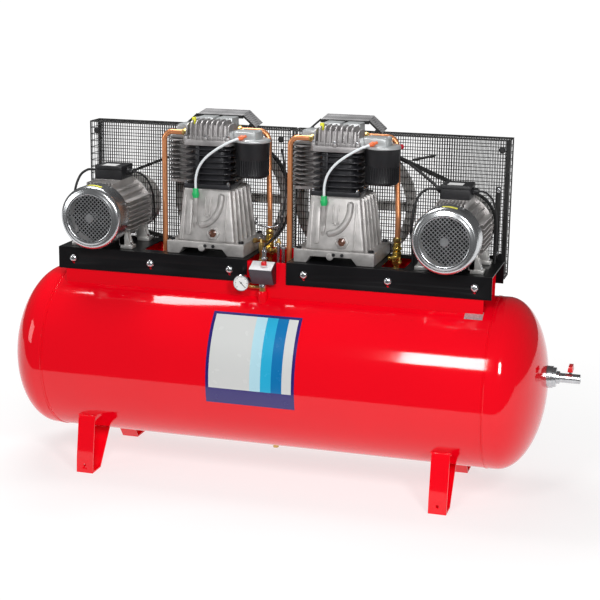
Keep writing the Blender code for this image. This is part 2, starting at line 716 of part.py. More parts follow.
def make_guard(side, sign, pump):
    """Belt guard, open below, with a sheet hood over the flywheel."""
    low_x, high_x = sorted((sign * GUARD_X[0], sign * GUARD_X[1]))
    shape = bmesh.new()
    bmesh.ops.create_cube(shape, size=1)
    size = (high_x - low_x, GUARD_Y[1] - GUARD_Y[0], GUARD_Z[1] - GUARD_Z[0])
    bmesh.ops.scale(shape, vec=size, verts=shape.verts)
    centre = ((low_x + high_x) / 2, sum(GUARD_Y) / 2, sum(GUARD_Z) / 2)
    bmesh.ops.translate(shape, vec=centre, verts=shape.verts)
    floor = [face for face in shape.faces if face.normal.z < -0.5]
    bmesh.ops.delete(shape, geom=floor, context="FACES_ONLY")
    guard = part("belt_guard_" + side, finish_mesh(shape, "guard"), "black_enamel")
    solidify(guard, GUARD_THICKNESS, -1)
    motor_x, crank_x = sign * MOTOR_X, sign * PUMP_X
    cut(guard, helper(rod(0.022, (motor_x, 0.15, MOTOR_AXIS_Z), (motor_x, 0.17, MOTOR_AXIS_Z), 16)))
    cut(guard, helper(rod(0.026, (crank_x, 0.15, CRANK_Z), (crank_x, 0.17, CRANK_Z), 16)))
    for x in (0.120, 0.720):
        near, far = PLATE_BACK_Y + GAP, GUARD_Y[0] + 0.001
        bracket = box((sign * x - 0.020, near, 0.752), (sign * x + 0.020, far, 0.800))
        join(guard, helper(bracket))
    vent = box((HOOD_SHIFT_X - 0.12, 0.165, 1.20), (HOOD_SHIFT_X + 0.12, 0.237, 1.25))
    cut(guard, helper(vent, pump))
    front, back = GUARD_Y
    base = GUARD_Z[1] + GAP
    arch = [(-0.135, base), (-0.086, 1.279), (0.086, 1.279), (0.135, base)]
    route = [(HOOD_SHIFT_X + x, front, z) for x, z in arch]
    hood = part("air_hood_" + side, strip(route, (0, back - front, 0.010)), "black_enamel", pump)
    solidify(hood, 0.002, 0)
    cut(hood, helper(box((-0.25, 0.1, base - 0.02), (0.25, 0.3, base)), pump))


def make_set(side, sign, tank):
    make_bed_plate(side, sign)
    make_motor(side, sign)
    pump = empty("pump_" + side, (sign * PUMP_X, 0, 0))
    crank = empty("crank_axis_" + side, (sign * PUMP_X, 0, CRANK_Z))
    make_crankcase(side, pump)
    make_crankshaft(side, crank)
    make_cylinders(side, pump)
    make_head(side, pump)
    make_filter(side, pump)
    make_pipes(side, pump, tank)
    make_drive(side, sign, bpy.data.objects["motor_axis_" + side], crank)
    make_guard(side, sign, pump)


def main():
    make_tank()
    tank = tank_tool()
    for side, sign in SIDES.items():
        make_leg("leg_front_" + side, sign, -1, tank)
        make_leg("leg_rear_" + side, sign, 1, tank)
    make_cradle(tank)
    make_outlet(dish_tool())
    make_drain_plug()
    make_switch()
    make_manifold(tank)
    make_gauge()
    make_safety_valve(tank)
    for side, sign in SIDES.items():
        make_set(side, sign, tank)


main()
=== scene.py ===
"""Twin stack compressor: two belt-driven pumps and their motors on one horizontal air receiver."""

import json
import math

import bmesh
import bpy
from mathutils import Matrix, Vector

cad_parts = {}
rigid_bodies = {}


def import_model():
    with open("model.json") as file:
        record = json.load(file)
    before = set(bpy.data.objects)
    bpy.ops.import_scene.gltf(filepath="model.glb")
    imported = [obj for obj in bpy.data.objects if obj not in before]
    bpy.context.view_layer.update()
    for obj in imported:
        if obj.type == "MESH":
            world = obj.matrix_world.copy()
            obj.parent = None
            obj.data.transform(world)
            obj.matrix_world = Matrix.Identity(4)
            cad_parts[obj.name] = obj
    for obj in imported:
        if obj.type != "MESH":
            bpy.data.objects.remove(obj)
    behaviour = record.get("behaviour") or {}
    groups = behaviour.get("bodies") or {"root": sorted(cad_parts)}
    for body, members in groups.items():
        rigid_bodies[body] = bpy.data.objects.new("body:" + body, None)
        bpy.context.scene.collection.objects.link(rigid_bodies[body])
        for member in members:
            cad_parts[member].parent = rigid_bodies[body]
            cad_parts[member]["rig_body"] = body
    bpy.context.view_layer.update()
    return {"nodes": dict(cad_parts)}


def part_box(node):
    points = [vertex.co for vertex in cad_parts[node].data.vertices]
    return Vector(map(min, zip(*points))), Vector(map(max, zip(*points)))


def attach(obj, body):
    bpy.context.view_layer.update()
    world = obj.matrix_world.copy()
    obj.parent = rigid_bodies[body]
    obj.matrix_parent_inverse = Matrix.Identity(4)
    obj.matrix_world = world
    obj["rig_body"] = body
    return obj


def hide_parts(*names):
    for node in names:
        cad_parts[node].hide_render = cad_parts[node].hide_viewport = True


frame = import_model()


# The receiver: a rolled steel tube with a pressed dished end welded on at each side.
# Glossy red enamel is sprayed over plates and welds alike, and it lies a little wavy, as thick paint does.
tank_low, tank_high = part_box("tank_shell")
tank_x = (tank_low.x + tank_high.x) / 2
tank_z = (tank_low.z + tank_high.z) / 2
tank_radius = (tank_high.z - tank_low.z) / 2
tank_half = (tank_high.x - tank_low.x) / 2
tank_wall = 0.006


def coating(
    name, colour, roughness, metal=0.0, cloud=(4, 0.05), grain=(300, 0.1), stretch=(1, 1, 1), coat=0.0
):
    """A finish whose colour clouds, whose gloss varies and whose grain stands up a little."""
    skin = bpy.data.materials.new(name)
    skin.use_nodes = True
    nodes, links = skin.node_tree.nodes, skin.node_tree.links
    shader = nodes["Principled BSDF"]
    shader.inputs["Metallic"].default_value = metal
    shader.inputs["Coat Weight"].default_value = coat
    shader.inputs["Coat Roughness"].default_value = 0.06
    spot = nodes.new("ShaderNodeTexCoord")
    scale = nodes.new("ShaderNodeMapping")
    scale.inputs["Scale"].default_value = stretch
    links.new(spot.outputs["Object"], scale.inputs["Vector"])
    patches = nodes.new("ShaderNodeTexNoise")
    patches.inputs["Scale"].default_value = cloud[0]
    patches.inputs["Detail"].default_value = 5
    links.new(scale.outputs["Vector"], patches.inputs["Vector"])
    tint = nodes.new("ShaderNodeValToRGB")
    tint.color_ramp.elements[0].position = 0.3
    tint.color_ramp.elements[1].position = 0.7
    tint.color_ramp.elements[0].color = (*(part * (1 - cloud[1]) for part in colour), 1)
    tint.color_ramp.elements[1].color = (*(min(1, part * (1 + cloud[1])) for part in colour), 1)
    links.new(patches.outputs["Fac"], tint.inputs["Fac"])
    links.new(tint.outputs["Color"], shader.inputs["Base Color"])
    gloss = nodes.new("ShaderNodeMapRange")
    gloss.inputs["To Min"].default_value = roughness * 0.85
    gloss.inputs["To Max"].default_value = min(1, roughness * 1.2)
    links.new(patches.outputs["Fac"], gloss.inputs["Value"])
    links.new(gloss.outputs["Result"], shader.inputs["Roughness"])
    specks = nodes.new("ShaderNodeTexNoise")
    specks.inputs["Scale"].default_value = grain[0]
    specks.inputs["Detail"].default_value = 3
    links.new(scale.outputs["Vector"], specks.inputs["Vector"])
    relief = nodes.new("ShaderNodeBump")
    relief.inputs["Strength"].default_value = grain[1]
    relief.inputs["Distance"].default_value = 0.001
    links.new(specks.outputs["Fac"], relief.inputs["Height"])
    links.new(relief.outputs["Normal"], shader.inputs["Normal"])
    return skin


def lathe(shape, section, place, steps=48, closed=False):
    """Adds a turned form: a half section of (radius, height) points, spun round the place's Z axis."""
    points = [shape.verts.new((radius, 0, height)) for radius, height in section]
    pairs = list(zip(points, points[1:]))
    if closed:
        pairs.append((points[-1], points[0]))
    edges = [shape.edges.new(pair) for pair in pairs]
    before = set(shape.verts) - set(points)
    bmesh.ops.spin(
        shape,
        geom=points + edges,
        cent=(0, 0, 0),
        axis=(0, 0, 1),
        angle=math.tau,
        steps=steps,
        use_merge=True,
    )
    made = list(set(shape.verts) - before)
    bmesh.ops.remove_doubles(shape, verts=made, dist=0.00001)
    made = list(set(shape.verts) - before)
    bmesh.ops.transform(shape, matrix=place, verts=made)
    return made


def fit(name, shape, skin, body, stands_for=(), bevel=0.0, rings=2, crease=32, at=(0, 0, 0)):
    """Makes the shape a piece that rides with its body, with its sharp edges eased."""
    bmesh.ops.remove_doubles(shape, verts=shape.verts, dist=0.00001)
    bmesh.ops.recalc_face_normals(shape, faces=shape.faces)
    if bevel:
        sharp = [edge for edge in shape.edges if edge.calc_face_angle(0) > math.radians(crease)]
        bmesh.ops.bevel(
            shape,
            geom=sharp,
            offset=bevel,
            offset_type="OFFSET",
            segments=rings,
            profile=0.5,
            affect="EDGES",
            clamp_overlap=True,
            material=-1,
        )
    bmesh.ops.translate(shape, vec=at, verts=shape.verts)
    mesh = bpy.data.meshes.new(name)
    shape.to_mesh(mesh)
    shape.free()
    mesh.shade_smooth()
    mesh.set_sharp_from_angle(angle=math.radians(crease))
    mesh.materials.append(skin)
    made = bpy.data.objects.new(name, mesh)
    bpy.context.scene.collection.objects.link(made)
    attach(made, body)
    if stands_for:
        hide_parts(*stands_for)
    return made


def along_x(x, z, y=0.0, way=1):
    """A place whose own Z axis points along X, one way or the other."""
    return Matrix.Translation((x, y, z)) @ Matrix.Rotation(way * math.pi / 2, 4, "Y")


red_enamel = coating("red_enamel", (0.88, 0.0006, 0.010), 0.075, 0.0, (2.5, 0.03), (7, 0.02))

barrel = bmesh.new()
inner = tank_radius - tank_wall
wall = [(inner, tank_half), (tank_radius, tank_half), (tank_radius, -tank_half), (inner, -tank_half)]
lathe(barrel, wall, along_x(tank_x, tank_z), 160, True)
fit("receiver_barrel", barrel, red_enamel, "frame", ["tank_shell"])

for side, way in (("left", -1), ("right", 1)):
    low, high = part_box("tank_end_" + side)
    flange = 0.030
    crown = high.x - low.x - flange
    arc = [math.radians(90 * step / 24) for step in range(25)]
    outside = [(tank_radius * math.sin(angle), flange + crown * math.cos(angle)) for angle in arc]
    inside = [(inner * math.sin(angle), flange + (crown - tank_wall) * math.cos(angle)) for angle in arc]
    dish = bmesh.new()
    start = low.x if way > 0 else high.x
    section = outside + [(tank_radius, 0), (inner, 0)] + inside[::-1]
    lathe(dish, section, along_x(start, tank_z, 0, way), 160)
    fit("dished_end_" + side, dish, red_enamel, "frame", ["tank_end_" + side])
    bead = bmesh.new()
    lathe(
        bead, [(tank_radius + 0.0012, 0.004), (tank_radius - 0.001, 0.006), (tank_radius - 0.001, 0.002)],
        along_x(start, tank_z, 0, way), 160, True
    )
    lathe(
        bead,
        [
            (tank_radius + 0.0016, -0.004), (tank_radius + 0.0016, -0.001), (tank_radius - 0.001, 0),
            (tank_radius - 0.001, -0.005)
        ],
        along_x(start, tank_z, 0, way), 160, True
    )
    fit("girth_weld_" + side, bead, red_enamel, "frame")


# The seam where the tube's plate was closed is a low rippled weld bead along its rear upper side.
# It is ground only lightly, and is painted over with the rest.
seam = bmesh.new()
seam_angle = math.radians(62)
seam_points = 90
for step in range(seam_points):
    x = tank_x - tank_half + 0.02 + (2 * tank_half - 0.04) * step / (seam_points - 1)
    y, z = tank_radius * math.cos(seam_angle), tank_z + tank_radius * math.sin(seam_angle)
    bmesh.ops.create_uvsphere(
        seam,
        u_segments=8,
        v_segments=5,
        radius=1,
        matrix=Matrix.Translation((x, y, z))
        @ Matrix.Rotation(seam_angle, 4, "X")
        @ Matrix.Diagonal((0.013, 0.0018, 0.004, 1)),
    )
fit("long_seam_weld", seam, red_enamel, "frame")


# A vinyl sign is stuck on the front of the tube: a white field with a dark blue frame and plain bars of blue.
# It is a thin patch curved to the plate, printed glossy, and it carries no words.
def printed_sign(name, left, right, bottom, top):
    """A white field framed in dark blue, with three upright bars, read from its place round the tube."""
    skin = bpy.data.materials.new(name)
    skin.use_nodes = True
    nodes, links = skin.node_tree.nodes, skin.node_tree.links
    shader = nodes["Principled BSDF"]
    shader.inputs["Coat Weight"].default_value = 0.6
    spot = nodes.new("ShaderNodeTexCoord")
    split = nodes.new("ShaderNodeSeparateXYZ")
    links.new(spot.outputs["UV"], split.inputs["Vector"])

    def over(socket, limit):
        step = nodes.new("ShaderNodeMath")
        step.operation = "GREATER_THAN"
        step.inputs[1].default_value = limit
        links.new(socket, step.inputs[0])
        return step.outputs["Value"]

    def layer(below, colour, mask):
        mix = nodes.new("ShaderNodeMix")
        mix.data_type = "RGBA"
        links.new(mask, mix.inputs["Factor"])
        if isinstance(below, tuple):
            mix.inputs["A"].default_value = (*below, 1)
        else:
            links.new(below, mix.inputs["A"])
        mix.inputs["B"].default_value = (*colour, 1)
        return mix.outputs["Result"]

    across, up = split.outputs["X"], split.outputs["Y"]
    navy = (0.022, 0.012, 0.16)
    print_ink = layer(navy, (0.66, 0.67, 0.66), over(across, left))
    for edge, colour in zip((0.50, 0.62, 0.74), ((0.46, 0.72, 0.82), (0.02, 0.42, 0.68), (0.0, 0.17, 0.44))):
        print_ink = layer(print_ink, colour, over(across, edge))
    print_ink = layer(print_ink, (0.66, 0.67, 0.66), over(across, 0.86))
    print_ink = layer(print_ink, navy, over(across, right))
    print_ink = layer(print_ink, navy, over(up, top))
    below = nodes.new("ShaderNodeMath")
    below.operation = "SUBTRACT"
    below.inputs[0].default_value = 1
    links.new(up, below.inputs[1])
    print_ink = layer(print_ink, navy, over(below.outputs["Value"], 1 - bottom))
    links.new(print_ink, shader.inputs["Base Color"])
    patches = nodes.new("ShaderNodeTexNoise")
    patches.inputs["Scale"].default_value = 30
    links.new(spot.outputs["Object"], patches.inputs["Vector"])
    gloss = nodes.new("ShaderNodeMapRange")
    gloss.inputs["To Min"].default_value = 0.18
    gloss.inputs["To Max"].default_value = 0.32
    links.new(patches.outputs["Fac"], gloss.inputs["Value"])
    links.new(gloss.outputs["Result"], shader.inputs["Roughness"])
    return skin


def wrapped(name, left, right, first, last, skin, lift=0.0004, steps=40):
    """A patch on the tube's front between two heights on its curve, given as angles above the middle."""
    shape = bmesh.new()
    radius = tank_radius + lift
    start = [
        shape.verts.new((x, -radius * math.cos(first), tank_z + radius * math.sin(first)))
        for x in (left, right)
    ]
    edge = shape.edges.new(start)
    bmesh.ops.spin(
        shape,
        geom=start + [edge],
        cent=(0, 0, tank_z),
        axis=(-1, 0, 0),
        angle=last - first,
        steps=steps,
    )
    flow = shape.loops.layers.uv.new("print")
    for face in shape.faces:
        if face.calc_center_median().y * face.normal.y < 0:
            face.normal_flip()
        for loop in face.loops:
            turn = math.atan2(loop.vert.co.z - tank_z, -loop.vert.co.y)
            loop[flow].uv = ((loop.vert.co.x - left) / (right - left), (turn - first) / (last - first))
    mesh = bpy.data.meshes.new(name)
    shape.to_mesh(mesh)
    shape.free()
    mesh.shade_smooth()
    mesh.materials.append(skin)
    made = bpy.data.objects.new(name, mesh)
    bpy.context.scene.collection.objects.link(made)
    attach(made, "frame")
    return made


sign_print = printed_sign("sign_print", 0.035, 0.965, 0.17, 0.968)
wrapped("sign", tank_x - 0.168, tank_x + 0.152, math.asin(-0.27), math.asin(0.743), sign_print)

plate_print = coating("engraved_plate", (0.62, 0.64, 0.66), 0.3, 0.6, (160, 0.45), (500, 0.1), (1, 4, 4))
wrapped(
    "rating_plate", tank_x + 0.700, tank_x + 0.762, math.asin(0.85), math.asin(0.912), plate_print,
    0.0008, 8
)


# Four feet, each one flat bar folded round and welded under the tank at both ends, in the tank's enamel.
# The fold at the top stands a little off the plate, and a thick weld bead fills the gap.
def tidied(name, node, skin, bevel, rings=2, crease=25):
    """A copy of a CAD part with its joined faces cleaned up and its edges rounded."""
    shape = bmesh.new()
    shape.from_mesh(frame["nodes"][node].data)
    bmesh.ops.remove_doubles(shape, verts=shape.verts, dist=0.00002)
    bmesh.ops.dissolve_limit(
        shape,
        angle_limit=math.radians(1.0),
        verts=shape.verts,
        edges=shape.edges,
    )
    body = frame["nodes"][node]["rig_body"]
    return fit(name, shape, skin, body, [node], bevel, rings, crease)


def bar(shape, start, end, radius, steps=16, tip=None):
    """Adds a round bar between two points, or a taper if the tip has its own radius."""
    start, end = Vector(start), Vector(end)
    run = end - start
    made = bmesh.ops.create_cone(
        shape,
        cap_ends=True,
        segments=steps,
        radius1=radius,
        radius2=radius if tip is None else tip,
        depth=run.length,
        matrix=Matrix.Translation((start + end) / 2) @ run.to_track_quat("Z", "Y").to_matrix().to_4x4(),
    )
    return made["verts"]


for end in ("left", "right"):
    for row in ("front", "rear"):
        node = f"leg_{row}_{end}"
        low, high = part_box(node)
        tidied("foot_" + row + "_" + end, node, red_enamel, 0.0014)
        facing = -1 if row == "front" else 1
        beads = bmesh.new()
        top = math.asin((high.z - 0.004 - tank_z) / tank_radius)
        outer_y = facing * tank_radius * math.cos(top)
        outer_z = tank_z + tank_radius * math.sin(top)
        for step in range(17):
            x = low.x + (high.x - low.x) * step / 16
            bmesh.ops.create_icosphere(
                beads,
                subdivisions=2,
                radius=0.0052,
                matrix=Matrix.Translation((x, outer_y, outer_z)),
            )
        fit(f"foot_weld_{row}_{end}", beads, red_enamel, "frame")


# The cradle: two deep rails welded along the tank's top and tied by flat bars, in the same enamel.
# The plates for the machines hang on it, so its red shows at each keyhole and through each cut-out.
tidied("cradle_rails", "cradle", red_enamel, 0.0012)


# Bed plates: folded steel sheet in satin black enamel, one for each motor and pump.
# Each is held by big dome-headed zinc bolts through keyholes in its front edge, on rubber washers.
black_enamel = coating("black_enamel", (0.004, 0.004, 0.005), 0.38, 0.0, (6, 0.25), (120, 0.12))
black_enamel.node_tree.nodes["Principled BSDF"].inputs["Specular IOR Level"].default_value = 0.28
zinc = coating("zinc_plate", (0.62, 0.63, 0.65), 0.26, 1.0, (60, 0.14), (700, 0.15))
black_rubber = coating("black_rubber", (0.014, 0.014, 0.015), 0.62, 0.0, (40, 0.3), (900, 0.4))


def along_y(x, y, z, way=-1):
    """A place whose own Z axis points along Y, by default to the front."""
    return Matrix.Translation((x, y, z)) @ Matrix.Rotation(-way * math.pi / 2, 4, "X")


def upright(x, y, z):
    return Matrix.Translation((x, y, z))


def hexagon(shape, place, across, thickness):
    """Adds a hexagonal nut or bolt head, sitting on its place and chamfered on top."""
    corner = across / math.sqrt(3)
    section = [(0, thickness), (corner * 0.88, thickness), (corner, thickness * 0.82), (corner, 0), (0, 0)]
    return lathe(shape, section, place, 6)


bolt_first, bolt_pitch, bolt_z = 0.135, 0.297, 0.773
for side, way in (("left", -1), ("right", 1)):
    low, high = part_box("bed_plate_" + side)
    tidied("bed_plate_sheet_" + side, "bed_plate_" + side, black_enamel, 0.0011)
    heads, washers = bmesh.new(), bmesh.new()
    for index in range(3):
        x = tank_x + way * (bolt_first + index * bolt_pitch)
        dome = [
            (0, 0.0092), (0.0045, 0.0090), (0.0090, 0.0076), (0.0124, 0.0048), (0.0136, 0.0014),
            (0.0136, 0), (0, 0)
        ]
        lathe(heads, dome, along_y(x, low.y - 0.0016, bolt_z), 32)
        lathe(
            heads, [(0, 0.0100), (0.0034, 0.0098), (0.0036, 0.0088), (0, 0.0088)],
            along_y(x, low.y - 0.0012, bolt_z), 20
        )
        bar(heads, (x, low.y - 0.001, bolt_z), (x, low.y + 0.020, bolt_z), 0.005)
        lathe(
            washers, [(0.006, 0.0016), (0.0142, 0.0016), (0.0146, 0), (0.006, 0)],
            along_y(x, low.y - 0.0001, bolt_z), 32, True
        )
    fit("plate_bolts_" + side, heads, zinc, "frame")
    fit("plate_washers_" + side, washers, black_rubber, "frame")


# The motors: foot-mounted squirrel-cage machines in die-cast aluminium, left bare and lightly tumbled.
# Long fins run along both flanks, short ones stand under the terminal box, and broad facets lie between.
def block(shape, low, high, taper=(1, 1), shift=(0, 0)):
    """Adds a block between two corners. Its top may be smaller by taper and moved by shift."""
    made = bmesh.ops.create_cube(shape, size=1)["verts"]
    low, high = Vector(low), Vector(high)
    for vert in made:
        top = vert.co.z > 0
        for axis in (0, 1):
            vert.co[axis] *= (high[axis] - low[axis]) * (taper[axis] if top else 1)
            vert.co[axis] += shift[axis] if top else 0
        vert.co.z *= high.z - low.z
    bmesh.ops.translate(shape, vec=(low + high) / 2, verts=made)
    return made


def slab(shape, outline, low, high, along="Y"):
    """Adds a plate drawn along one axis from low to high, its outline across the other two in order."""
    axis = "XYZ".index(along)
    points = []
    for first, second in outline:
        spot = [first, second]
        spot.insert(axis, low)
        points.append(shape.verts.new(spot))
    made = bmesh.ops.extrude_face_region(shape, geom=[shape.faces.new(points)])["geom"]
    far = [item for item in made if isinstance(item, bmesh.types.BMVert)]
    run = [0, 0, 0]
    run[axis] = high - low
    bmesh.ops.translate(shape, vec=run, verts=far)
    return points + far


def slope(shape, verts, turn, centre, axis="Y"):
    """Turns part of a shape by an angle about one of its own points."""
    bmesh.ops.rotate(shape, cent=centre, matrix=Matrix.Rotation(turn, 3, axis), verts=verts)


cast_aluminium = coating("cast_aluminium", (0.52, 0.50, 0.49), 0.42, 0.75, (18, 0.16), (650, 0.45))
bright_cast = coating("bright_cast_aluminium", (0.66, 0.65, 0.63), 0.36, 0.7, (22, 0.14), (700, 0.4))
motors = {}
for side in ("left", "right"):
    low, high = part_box("motor_rotor_" + side)
    motors[side] = Vector(((low.x + high.x) / 2, 0, (low.z + high.z) / 2))

for side, axis in motors.items():
    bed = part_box("bed_plate_" + side)[1].z - axis.z
    frame_shape = bmesh.new()
    facets = [
        (0.104 * math.cos(math.radians(22.5 + 45 * step)), 0.104 * math.sin(math.radians(22.5 + 45 * step)))
        for step in range(8)
    ]
    slab(frame_shape, facets, -0.116, 0.100)
    lathe(frame_shape, [(0, 0.216), (0.1005, 0.216), (0.1005, 0), (0, 0)], along_y(0, 0.100, 0), 72)
    for flank in (-1, 1):
        for step in range(7):
            z = 0.048 - step * 0.0165
            reach = 0.1165 if abs(step - 3) < 3 else 0.113
            block(
                frame_shape, (min(flank * 0.080, flank * reach), -0.112, z - 0.0021),
                (max(flank * 0.080, flank * reach), 0.094, z + 0.0021)
            )
        for step in range(5):
            angle = math.radians(-46 - 8.5 * step)
            rib = block(frame_shape, (0.090, -0.110, -0.0017), (0.1105, 0.092, 0.0017))
            slope(frame_shape, rib, -angle, (0, 0, 0))
            if flank < 0:
                bmesh.ops.scale(frame_shape, vec=(-1, 1, 1), verts=rib)
        for step in range(3):
            angle = math.radians(40 + 13 * step)
            rib = block(frame_shape, (0.090, -0.112, -0.0024), (0.1085, 0.094, 0.0024))
            slope(frame_shape, rib, -angle, (0, 0, 0))
            if flank < 0:
                bmesh.ops.scale(frame_shape, vec=(-1, 1, 1), verts=rib)
    for step in range(9):
        x = -0.048 + 0.012 * step
        block(frame_shape, (x - 0.0019, -0.116, 0.085), (x + 0.0019, -0.030, 0.1128))
    block(frame_shape, (-0.050, -0.036, 0.085), (0.050, 0.078, 0.1134))
    fit(
        "motor_housing_" + side, frame_shape, cast_aluminium, "frame",
        ["motor_frame_" + side], 0.0006, 1, 32, axis
    )

    shields = bmesh.new()
    rear = [
        (0.016, 0.0225), (0.030, 0.0225), (0.036, 0.014), (0.072, 0.0105), (0.104, 0.007), (0.1125, 0.002),
        (0.1125, -0.006), (0.016, -0.006)
    ]
    lathe(shields, rear, along_y(0, 0.1045, 0, 1), 72, True)
    lathe(
        shields,
        [(0.016, 0.0125), (0.1095, 0.0125), (0.1115, 0.0105), (0.1115, 0.001), (0.1100, 0), (0.016, 0)],
        along_y(0, -0.1180, 0), 72, True
    )
    for step in range(8):
        turn = math.tau * (step + 0.5) / 8
        arm = block(shields, (0.034, 0.106, -0.003), (0.104, 0.117, 0.003))
        slope(shields, arm, turn, (0, 0, 0))
    for step in range(4):
        turn = math.tau * (step + 0.5) / 4
        x, z = 0.104 * math.cos(turn), 0.104 * math.sin(turn)
        bar(shields, (x, 0.096, z), (x, 0.1145, z), 0.0085, 20)
    fit(
        "motor_end_shields_" + side, shields, cast_aluminium, "frame", (), 0.0008, 2, 32,
        axis
    )

    feet = bmesh.new()
    for flank in (-1, 1):
        for near, far in ((-0.104, -0.066), (0.056, 0.096)):
            block(
                feet, (min(flank * 0.072, flank * 0.118), near, bed + 0.0003),
                (max(flank * 0.072, flank * 0.118), far, bed + 0.0135)
            )
            web = [
                (0.112, bed + 0.010), (0.104, bed + 0.034), (0.092, -0.046), (0.060, -0.078),
                (0.070, bed + 0.010)
            ]
            slab(feet, [(flank * x, z) for x, z in web], near + 0.004, near + 0.012)
            slab(feet, [(flank * x, z) for x, z in web], far - 0.012, far - 0.004)
            block(
                feet, (min(flank * 0.066, flank * 0.088), near + 0.004, bed + 0.010),
                (max(flank * 0.066, flank * 0.088), far - 0.004, -0.062)
            )
    fit("motor_feet_" + side, feet, bright_cast, "frame", (), 0.0016, 2, 32, axis)

    bolts = bmesh.new()
    for flank in (-1, 1):
        for y in (-0.085, 0.076):
            x = flank * 0.103
            lathe(
                bolts, [(0, 0.0020), (0.0105, 0.0020), (0.0105, 0), (0, 0)], upright(x, y, bed + 0.0134), 24
            )
            hexagon(bolts, upright(x, y, bed + 0.0152), 0.015, 0.0075)
    for step in range(4):
        turn = math.tau * (step + 0.5) / 4
        hexagon(bolts, along_y(0.104 * math.cos(turn), 0.1143, 0.104 * math.sin(turn), 1), 0.010, 0.0055)
    fit("motor_bolts_" + side, bolts, zinc, "frame", (), 0.0, 1, 32, axis)


# Fan covers: deep-drawn bright steel cups with a wide rounded shoulder, pushed over the front end shield.
# The face is pierced with slanting rows of square holes round a plain boss. A paper label is stuck on top.
bright_steel = coating(
    "bright_pressed_steel", (0.60, 0.615, 0.63), 0.24, 0.97, (7, 0.06), (240, 0.02), (1, 0.25, 1)
)
grille_steel = coating("grille_steel", (0.50, 0.51, 0.525), 0.34, 0.9, (30, 0.12), (500, 0.2))
fan_plastic = coating("fan_plastic", (0.018, 0.018, 0.020), 0.55, 0.0, (30, 0.3), (500, 0.3))
label_yellow = coating("label_yellow", (0.86, 0.78, 0.10), 0.5, 0.0, (260, 0.22), (600, 0.1))
for side, axis in motors.items():
    low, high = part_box("motor_fan_cover_" + side)
    radius = (high.x - low.x) / 2
    cup = bmesh.new()
    shoulder, face_radius, sheet = 0.022, radius - 0.026, 0.0014
    round_off = [math.radians(90 * step / 8) for step in range(9)]
    outside = [(radius, high.y), (radius, low.y + shoulder)]
    outside += [
        (radius - 0.0175 * (1 - math.cos(angle)), low.y + shoulder - (shoulder - 0.0035) * math.sin(angle))
        for angle in round_off[1:]
    ]
    outside += [
        (face_radius + 0.004, low.y + 0.0010), (face_radius, low.y), (face_radius - 0.003, low.y + 0.0006)
    ]
    section = [(r, -(y - low.y)) for r, y in outside]
    inside = [
        (r - sheet, -(y - low.y) - (sheet if r < radius - 0.001 else 0)) for r, y in reversed(outside[1:])
    ]
    section += inside + [(radius - sheet, -(high.y - low.y))]
    section = [(r, -h) for r, h in section]
    lathe(cup, section[::-1], along_y(0, low.y - axis.y, 0, 1), 96, True)
    fit(
        "fan_cover_" + side, cup, bright_steel, "frame", ["motor_fan_cover_" + side], 0.0,
        1, 40, axis
    )

    grille = bmesh.new()
    reach = face_radius - 0.001
    pitch = 0.0105
    count = int(reach / pitch)
    for lean, depth in ((1, 0.0012), (-1, 0.0016)):
        for step in range(-count, count + 1):
            offset = step * pitch
            half = math.sqrt(reach**2 - offset**2)
            wire = block(
                grille, (-half, low.y + depth, offset - 0.0014),
                (half, low.y + depth + 0.0016, offset + 0.0014)
            )
            slope(grille, wire, lean * math.pi / 4, (0, 0, 0))
    boss = [
        (0, 0.0026), (0.0045, 0.0026), (0.0060, 0.0012), (0.0095, 0.0012), (0.0105, 0.0028),
        (0.0140, 0.0028), (0.0155, 0.0008), (0.0155, -0.001), (0, -0.001)
    ]
    lathe(grille, boss, along_y(0, low.y + 0.0018, 0), 40)
    fit("fan_grille_" + side, grille, grille_steel, "frame", (), 0.0, 1, 32, axis)

    rotor_body = "motor_" + side
    fan = bmesh.new()
    lathe(
        fan, [(0.0143, 0.022), (0.024, 0.022), (0.030, 0.004), (0.088, 0.002), (0.088, 0), (0.0143, 0)],
        along_y(0, -0.145, 0), 48, True
    )
    for step in range(8):
        blade = block(fan, (0.026, -0.186, -0.0012), (0.088, -0.146, 0.0012))
        slope(fan, blade, math.tau * step / 8, (0, 0, 0))
    fit("motor_fan_" + side, fan, fan_plastic, rotor_body, (), 0.0, 1, 32, axis)

    label = bmesh.new()
    ends = [label.verts.new((0, y, radius + 0.0004)) for y in (low.y + 0.024, low.y + 0.043)]
    line = label.edges.new(ends)
    bmesh.ops.spin(
        label, geom=ends + [line], cent=(0, 0, 0), axis=(0, 1, 0), angle=math.radians(26), steps=12
    )
    bmesh.ops.rotate(
        label, cent=(0, 0, 0), matrix=Matrix.Rotation(math.radians(-8), 3, "Y"), verts=label.verts
    )
    bmesh.ops.solidify(label, geom=label.faces[:], thickness=-0.0002)
    fit("cover_label_" + side, label, label_yellow, "frame", (), 0.0, 1, 32, axis)


# Rotor shafts, running out to the pulley behind the end shield.
# Bright ground steel, which turns with the crank through the belt.
ground_steel = coating("ground_steel", (0.56, 0.56, 0.58), 0.24, 1.0, (40, 0.12), (800, 0.2))
for side, axis in motors.items():
    low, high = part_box("motor_rotor_" + side)
    shaft = bmesh.new()
    lathe(
        shaft,
        [
            (0, 0.2370), (0.0125, 0.2370), (0.0139, 0.2355), (0.0139, 0.076), (0.080, 0.075),
            (0.080, -0.075), (0.0139, -0.076), (0.0139, -0.164), (0.0130, -0.165), (0, -0.165)
        ],
        along_y(0, 0, 0, 1), 56
    )
    fit(
        "rotor_shaft_" + side, shaft, ground_steel, "motor_" + side, ["motor_rotor_" + side],
        0.0, 1, 32, axis
    )


